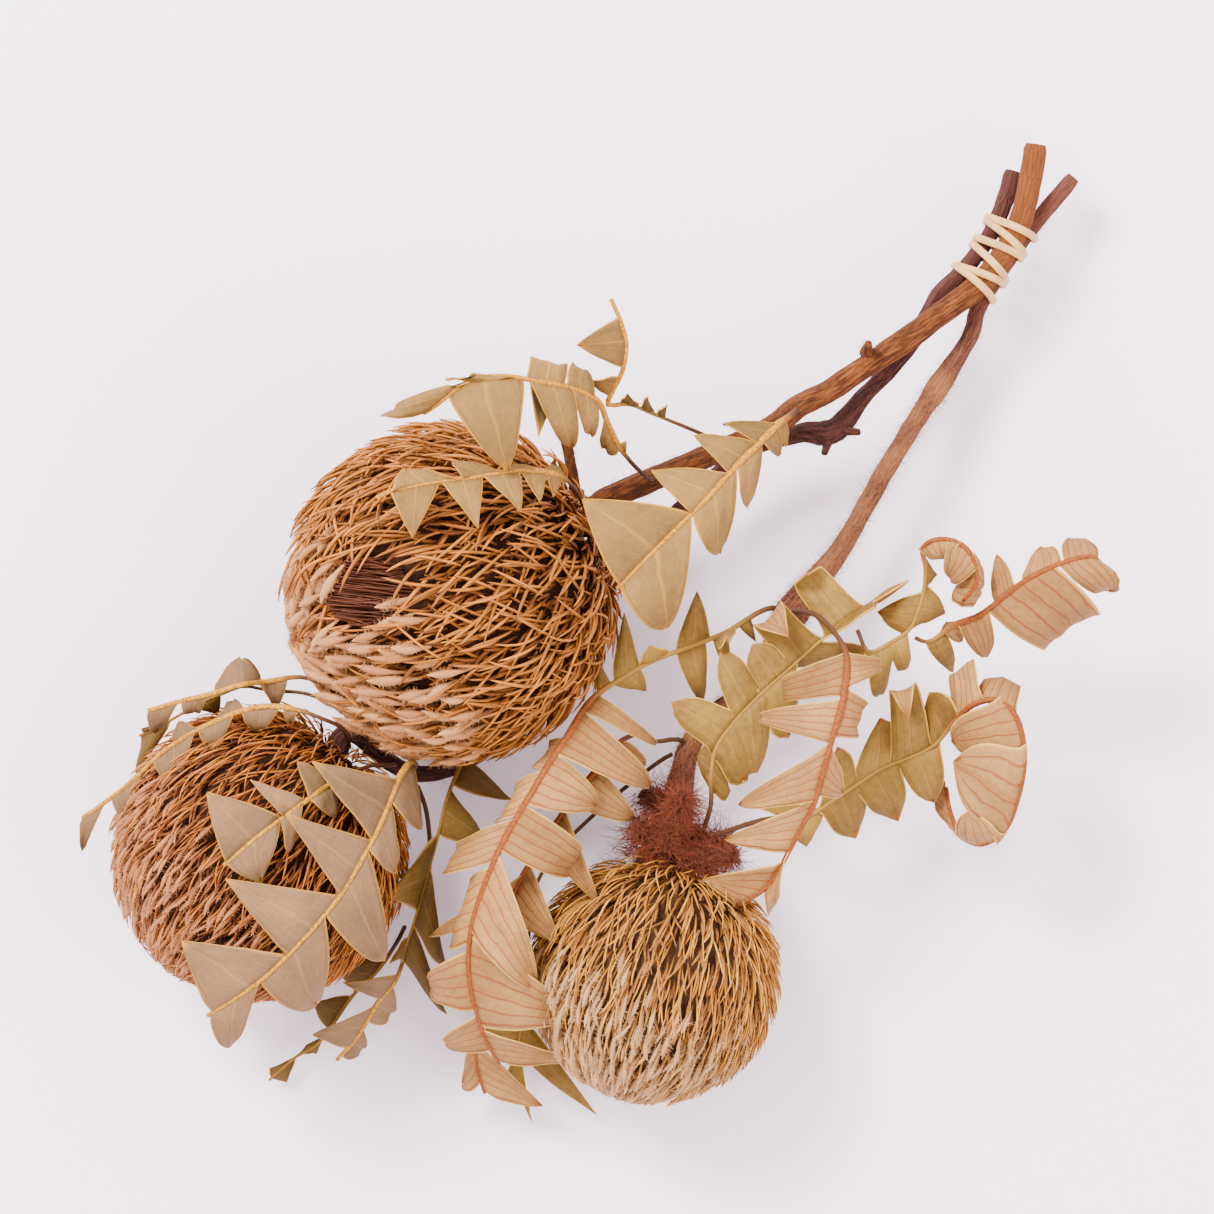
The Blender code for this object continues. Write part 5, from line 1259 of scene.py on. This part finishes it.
def make_leaf(name, skin):
    rib = rib_path(name)
    thick, thin = RIB_RADII.get(name, RIB_USUAL)
    path = respaced(rib, RIB_STEP)
    rings = len(path)
    across, up = frames(path)
    first_lobe = min(rib_share(rib, *spot) for lobe in LEAVES[name][1] for spot in (lobe[:2], lobe[2:4]))
    before = first_lobe - distance_along(path) / distance_along(path)[-1]
    stalk = np.clip(before * 12 + 0.5, 0, 1)
    upper = np.convolve(np.pad(path[:, 3] < 90, 2, "edge"), np.ones(5) / 5, "valid")
    radii = np.linspace(thick, thin, rings) * (0.92 - 0.34 * np.maximum(upper, stalk * 0.9))
    points = []
    for i in range(rings):
        for k in range(RIB_SIDES):
            angle = 2 * math.pi * k / RIB_SIDES
            bumpy = 1 + 0.12 * noise.noise(Vector((i * 0.4, k * 1.3, len(name))))
            out = math.cos(angle) * across[i] + math.sin(angle) * up[i]
            points.append(path[i, :3] + radii[i] * bumpy * out)
    ends = [tuple(range(RIB_SIDES - 1, -1, -1)), tuple(range((rings - 1) * RIB_SIDES, rings * RIB_SIDES))]
    shape = Shape()
    shape.add(points, ends + tube_faces(rings, RIB_SIDES), rib=1.0, side=1.0,
              stalk=np.repeat(stalk, RIB_SIDES), upper=np.repeat(upper, RIB_SIDES))
    rng = np.random.default_rng(len(name) * 5 + 1)
    for lobe in LEAVES[name][1]:
        add_lobe(shape, name, rib, lobe, float(rng.random()))
    shape.piece(name + "_blade", skin, name + "_skin", name)


# Flower heads

def obstacles():
    """A search tree of points on the stems and leaves, which the strands keep off, and their radii."""
    spots = []
    for name in STEMS:
        path = respaced(stem_path(name), 1.5)
        for row in path:
            spots.append((row[:3], row[3] + 0.6))
    for name in LEAVES:
        rib = rib_path(name)
        for row in respaced(rib, 1.5):
            spots.append((row[:3], 1.4))
        for lobe in LEAVES[name][1]:
            bluntness, spread = lobe_shape(name, lobe)
            base = at_share(rib[:, :3], np.linspace(*lobe_span(rib, lobe, spread), 9))
            middle = base.mean(axis=0)
            line, shares = lobe_line(middle, plan(*lobe[4:7]), lobe[7], *lobe_curl(lobe), 10, 30)
            for spot, share in zip(line, shares):
                for row in spot + (base - middle) * (1 - share ** bluntness):
                    spots.append((row, 1.0))
    tree = KDTree(len(spots))
    for i, (spot, _) in enumerate(spots):
        tree.insert(Vector(spot), i)
    tree.balance()
    return tree, np.array([radius for _, radius in spots])


def sites(head, count):
    """Evenly spread directions round a head, in the order of its spirals: out, forward and side."""
    axis = unit(head["axis"])
    first = unit(np.cross(axis, (0, 0, 1)))
    second = np.cross(axis, first)
    index = np.arange(count)
    cos = 1 - (index + 0.5) / count * (1 + math.cos(BARE_BASE))
    sin = np.sqrt(1 - cos ** 2)
    around = index * math.pi * (3 - math.sqrt(5))
    ring = np.cos(around)[:, None] * first + np.sin(around)[:, None] * second
    out = cos[:, None] * axis + sin[:, None] * ring
    forward = units(axis - out * (out @ axis)[:, None])
    return out, forward, np.cross(out, forward)


def envelope(head, out):
    """How far from the core's middle the outside of the head lies in each direction."""
    x, y = head["middle"]
    offset = plan(x, y, head["radius"]) - core_middle(head)
    along = out @ offset
    return along + np.sqrt(along ** 2 - offset @ offset + head["radius"] ** 2)


def nest_direction(head):
    """The way from the core's middle to the nest's mouth on the outside of the head."""
    if not head["hole"]:
        return None
    flat = plan(*head["hole"], 0) - core_middle(head)
    lift = head["radius"] + math.sqrt(head["radius"] ** 2 - flat[0] ** 2 - flat[1] ** 2)
    return unit([flat[0], flat[1], lift - core_middle(head)[2]])


def nest_sides(hole):
    """The ways along and across the nest's fibres."""
    right = unit(np.cross((0.12, 1.0, 0.0), hole))
    return right, np.cross(hole, right)


def nest_share(head, out, hole):
    """How far each direction lies from the nest's middle, as a share of its oval rim."""
    right, up = nest_sides(hole)
    long, wide = head["hole_size"]
    far = envelope(head, hole[None, :])[0]
    return np.where(out @ hole > 0, np.hypot(out @ right * far / long, out @ up * far / wide), 9.0)


def ball_radius(head, out, hole):
    """The woody ball's radius under the florets in each direction, hollowed at the nest."""
    far = np.maximum(envelope(head, out) - head["crust"], head["core"] - 0.2)
    if hole is not None:
        far = far - NEST_DEPTH * np.maximum(0, 1 - (nest_share(head, out, hole) / 1.25) ** 4)
    return far


def fitted(head, roots, reach, droop, sway, clear):
    """Shortens each strand until it is above the ground, off the leaves and inside the head's outline.

    Returns a mask of those kept, and their scales.
    """
    tree, radii = clear
    centre = plan(*head["middle"], head["radius"])
    limit = head["radius"] + OUTLINE_STANDS
    scale = np.ones(len(roots))
    keep = np.zeros(len(roots), bool)
    samples = (0.0, 0.25, 0.5, 0.75, 1.0)
    for i in range(len(roots)):
        for _ in range(8):
            s = scale[i]
            line = [roots[i] + s * (reach[i] * t + droop[i] * t * t + sway[i] * t ** 3) for t in samples]
            good = min(p[2] for p in line) > GROUND_GAP
            good = good and max(np.linalg.norm(p - centre) for p in line) < limit
            for p in line if good else ():
                spot, index, away = tree.find(Vector(p))
                good = good and away > radii[index]
            if good:
                keep[i] = True
                break
            scale[i] *= 0.8
    return keep, scale


def grow_layer(name, layer, clear, rng, hole):
    """One layer of strands on a head."""
    part, tree, skin, count, thick, length, depths, lean, bend, cross, segments, sides, where = layer
    head = HEADS[name]
    middle = core_middle(head)
    out, forward, side = sites(head, count)
    out = units(out + rng.normal(0, 0.02, out.shape))
    limbness = out @ unit(head["limb_side"]) + rng.normal(0, 0.1, count)
    pick = np.ones(count, bool)
    if where == "limbs":
        pick = limbness > head["limb_from"]
    elif where == "wires":
        pick = (limbness < head["limb_from"]) | (rng.random(count) < 0.34)
    if hole is not None:
        over = nest_share(head, units(out + forward * 0.2), hole)
        pick &= (nest_share(head, out, hole) > 1) & ((over > 1) | (rng.random(count) < 0.1))
    far = envelope(head, out)
    low = np.interp(far, [head["core"], head["core"] + 10], [0.0, 1.0])
    root_far = np.maximum(far - rng.uniform(*depths, count), head["core"] - 1.0)
    roots = middle + out * root_far[:, None]
    tipward = 14 * np.clip((out @ unit(head["axis"]) - 0.3) / 0.5, 0, 1)
    start = np.radians(rng.uniform(*lean, count) + tipward)
    finish = np.radians(rng.uniform(*bend, count) + tipward)
    sideways = side * rng.normal(0, cross, count)[:, None]
    first = units(np.cos(start)[:, None] * out + np.sin(start)[:, None] * forward + sideways)
    last = np.cos(finish)[:, None] * out + np.sin(finish)[:, None] * forward + sideways * 1.6
    lengths = length * rng.uniform(0.65, 1.12, count) * (0.5 + 0.5 * low)
    reach = first * lengths[:, None]
    droop = (last - first) * lengths[:, None] / 2
    sway = side * (rng.normal(0, 0.1, count) * lengths)[:, None]
    tone = rng.random(count) ** 1.6
    girth = thick * rng.uniform(0.78, 1.2, count)
    chosen = np.flatnonzero(pick)
    keep, scale = fitted(head, roots[chosen], reach[chosen], droop[chosen], sway[chosen], clear)
    chosen, scale = chosen[keep], scale[keep][:, None]
    made = strands(f"{name}_{part}", TREES[tree], head_skins(name)[skin], roots[chosen],
                   reach[chosen] * scale, droop[chosen] * scale, sway[chosen] * scale,
                   girth[chosen] * np.sqrt(scale[:, 0]), tone[chosen], segments, sides)
    return dressed(made, name + "_skin", *([name] if part == "styles" else []))


def grow_head(name, clear):
    head = HEADS[name]
    rng = np.random.default_rng(head["seed"])
    hole = nest_direction(head)
    make_core(name, head, hole)
    for layer in LAYERS[name]:
        made = grow_layer(name, layer, clear, rng, hole)
    wool = made.data.attributes.new("wool", "FLOAT", "POINT")
    along = np.empty(len(made.data.vertices), np.float32)
    made.data.attributes["along"].data.foreach_get("value", along)
    height = np.empty(len(along) * 3, np.float32)
    made.data.vertices.foreach_get("co", height)
    off_ground = np.clip(height[2::3] * 500 - 1.0, 0, 1)
    wool.data.foreach_set("value", (np.clip((along - 0.3) * 3, 0, 1) * off_ground).astype(np.float32))
    density, length = head["fuzz"]
    hairs = fuzz(name + "_fuzz", made, head_skins(name)["fuzz"], density, length, *HEAD_HAIR)
    dressed(hairs, name + "_skin")
    if hole is not None:
        nest_fibres(name, head, hole, rng)


def make_core(name, head, hole):
    """The woody ball under the florets."""
    middle = core_middle(head)
    angles = math.pi * np.arange(CORE_RINGS + 1) / CORE_RINGS
    turns = 2 * math.pi * np.arange(CORE_SIDES) / CORE_SIDES
    rows, columns = np.meshgrid(angles, turns, indexing="ij")
    out = np.stack([np.sin(rows) * np.cos(columns), np.sin(rows) * np.sin(columns), -np.cos(rows)], -1)
    out = out.reshape(-1, 3)
    rough = np.array([noise.noise(Vector(way) * 9) + 0.7 * noise.noise(Vector(way) * 31) for way in out])
    points = middle + out * (ball_radius(head, out, hole) + 0.6 * rough)[:, None]
    points[:, 2] = np.maximum(points[:, 2], 0.05)
    shape = Shape()
    shape.add(points, tube_faces(CORE_RINGS + 1, CORE_SIDES))
    piece = shape.piece(name + "_core", head_skins(name)["core"], name + "_skin")
    turn_outward(piece.data, 1e-6)


def nest_fibres(name, head, hole, rng):
    """Long straight fibres from the nest's left rim, which go deeper to its right."""
    count = NEST_FIBRES
    right, up = nest_sides(hole)
    long, wide = head["hole_size"]
    across = rng.uniform(-1, 1, count) * wide
    half = long * np.sqrt(1 - (across / wide) ** 2) + 1.0
    start = -half * rng.uniform(0.95, 1.15, count)
    far = envelope(head, hole[None, :])[0]
    lift = np.sqrt(far ** 2 - start ** 2 - across ** 2) - 3.0 - 7.0 * rng.random(count) ** 0.8
    run = half * rng.uniform(1.2, 2.1, count)
    fall = rng.uniform(3.5, 9.0, count)
    roots = core_middle(head) + hole * lift[:, None] + right * start[:, None] + up * across[:, None]
    reach = right * run[:, None] - hole * (fall * 0.6)[:, None]
    droop = -hole * (fall * 0.4)[:, None] + up * rng.normal(0, 1.1, count)[:, None]
    sway = up * rng.normal(0, 1.0, count)[:, None]
    made = strands(name + "_fibres", WIRE_TREE, head_skins(name)["fibre"], roots, reach, droop, sway,
                   rng.uniform(0.16, 0.36, count), rng.random(count), 6, 3)
    dressed(made, name + "_skin")


SKIN_COLOURS = {
    "head_top": dict(core=((66, 30, 14), (112, 60, 28)),
                     husk=((108, 56, 24), (178, 114, 56), (206, 146, 78), (210, 152, 88)),
                     wire=((140, 84, 38), (212, 156, 86), (112, 54, 50), (232, 184, 118)),
                     limb=((184, 124, 74), (216, 168, 122), (228, 194, 154), (230, 192, 150)),
                     fuzz=((232, 200, 164),) * 4,
                     fibre=((96, 44, 28), (150, 84, 56), (188, 122, 84), (186, 118, 80))),
    "head_left": dict(core=((88, 46, 26), (134, 78, 44)),
                      husk=((116, 62, 34), (180, 116, 70), (206, 142, 96), (210, 150, 102)),
                      wire=((144, 84, 40), (216, 154, 86), (156, 86, 62), (232, 184, 118)),
                      limb=((180, 118, 74), (212, 160, 116), (222, 176, 138), (226, 180, 140)),
                      fuzz=((228, 190, 154),) * 4),
    "head_right": dict(core=((122, 78, 48), (164, 116, 76)),
                       husk=((138, 90, 50), (202, 150, 94), (220, 176, 124), (222, 180, 128)),
                       wire=((172, 114, 56), (220, 172, 100), (168, 104, 56), (238, 204, 138)),
                       limb=((190, 144, 98), (218, 180, 134), (228, 196, 156), (230, 200, 162)),
                       fuzz=((236, 214, 184),) * 4),
}
SKIN_EXTRAS = {"wire": dict(tip_from=0.93), "limb": dict(sheen=WOOL_SHEEN), "fuzz": dict(sheen=WOOL_SHEEN)}
MADE_SKINS = {}


def head_skins(name):
    """The skins of a head, made when they are first asked for."""
    if name not in MADE_SKINS:
        shades = {part: [srgb(*shade) for shade in given] for part, given in SKIN_COLOURS[name].items()}
        MADE_SKINS[name] = {"core": core_skin(name + "_core", *shades.pop("core"))}
        for part, given in shades.items():
            MADE_SKINS[name][part] = strand_skin(f"{name}_{part}", *given, **SKIN_EXTRAS.get(part, {}))
    return MADE_SKINS[name]


# Wool of the rust-red collar

def make_collar_wool():
    """Long rust-red hairs round the foot of the right head, on its stem and on the stubs beside it."""
    rng = np.random.default_rng(41)
    path = respaced(stem_path("stem_right"), 1.0)[-24:]
    path[:, 3] += np.linspace(0, 3.4, len(path)) ** 1.2
    for _, foot, tip, wide, narrow in STUBS:
        if wide > 2:
            stub = respaced(np.column_stack([np.array([plan(*foot), plan(*tip)]), (wide, narrow)]), 1.0)
            path = np.vstack([path, stub])
    across, up = frames(path)
    count = COLLAR_HAIRS
    ring = rng.integers(0, len(path), count)
    angle = rng.uniform(0, 2 * math.pi, count)
    out = np.cos(angle)[:, None] * across[ring] + np.sin(angle)[:, None] * up[ring]
    ahead = units(np.gradient(path[:, :3], axis=0))[ring]
    roots = path[ring, :3] + out * (path[ring, 3] * 0.96)[:, None]
    length = rng.uniform(2.0, 7.5, count)[:, None]
    outward = out * rng.uniform(0.6, 1.0, count)[:, None]
    reach = (outward + ahead * rng.uniform(-0.5, 0.7, count)[:, None]) * length
    droop = rng.normal(0, 0.34, (count, 3)) * length
    sway = rng.normal(0, 0.26, (count, 3)) * length
    clear = (roots + reach + droop + sway)[:, 2] > 0.6
    skin = strand_skin("collar_wool", *(srgb(*shade) for shade in COLLAR_COLOURS), sheen=WOOL_SHEEN)
    made = strands("collar_wool", HAIR_TREE, skin, roots[clear], reach[clear], droop[clear], sway[clear],
                   rng.uniform(0.06, 0.12, count)[clear], rng.random(count)[clear], 4, 3)
    dressed(made, "stem_right_skin")


# Floor, lights and camera

def flat_sheet(name, half, height, material):
    mesh = bpy.data.meshes.new(name)
    corners = [(-half, -half, height), (half, -half, height), (half, half, height), (-half, half, height)]
    mesh.from_pydata(corners, [], [(0, 1, 2, 3)])
    mesh.materials.append(material)
    return linked(name, mesh)


def make_floor():
    made, tree, shader = new_skin("pale_floor", 0.9)
    mottle = use(tree, MOTTLING, Scale=6.0, Contrast=0.2)
    feed(tree, shader.inputs["Base Color"], mixed(tree, mottle.outputs["Share"], *FLOOR_COLOURS))
    flat_sheet("floor", 3.0, -0.0002, made)


def soft_light(name, place, size, power, colour):
    lamp = bpy.data.lights.new(name, "AREA")
    lamp.shape = "DISK"
    lamp.size = size
    lamp.energy = power
    lamp.color = colour
    made = linked(name, lamp)
    made.location = Vector(turned([place])[0]) / MM
    aim = Vector((0, 0, 0.03)) - made.location
    made.rotation_euler = aim.to_track_quat("-Z", "Y").to_euler()


def make_stage():
    """The floor, the lights and the camera, which looks straight down."""
    make_floor()
    soft_light("key_light", (-1.0, 1.1, 1.9), 0.8, KEY_POWER, (1.0, 0.985, 0.98))
    soft_light("fill_light", (1.5, -0.6, 1.6), 1.6, FILL_POWER, (1.0, 0.98, 0.99))
    world = bpy.data.worlds.new("studio")
    world.use_nodes = True
    back = world.node_tree.nodes["Background"]
    back.inputs[0].default_value = WORLD_COLOUR
    back.inputs[1].default_value = WORLD_STRENGTH
    bpy.context.scene.world = world
    lens = bpy.data.cameras.new("camera")
    lens.lens = CAMERA_LENS
    lens.sensor_width = CAMERA_SENSOR
    lens.clip_end = 20
    camera = linked("camera", lens)
    camera.location = (PLAN_SHIFT[0] * MM, PLAN_SHIFT[1] * MM, CAMERA_LEVEL + CAMERA_HEIGHT)
    camera.rotation_euler = (0, 0, PLAN_TURN)
    bpy.context.scene.camera = camera


def main():
    make_stage()
    for name in STEMS:
        make_stem(name)
    make_collar_wool()
    make_band()
    skins = {family: leaf_skin(family + "_leaf", *looks) for family, looks in LEAF_COLOURS.items()}
    for family, names in LEAF_SKINS.items():
        for name in names:
            make_leaf(name, skins[family])
    clear = obstacles()
    for name in HEADS:
        grow_head(name, clear)


main()
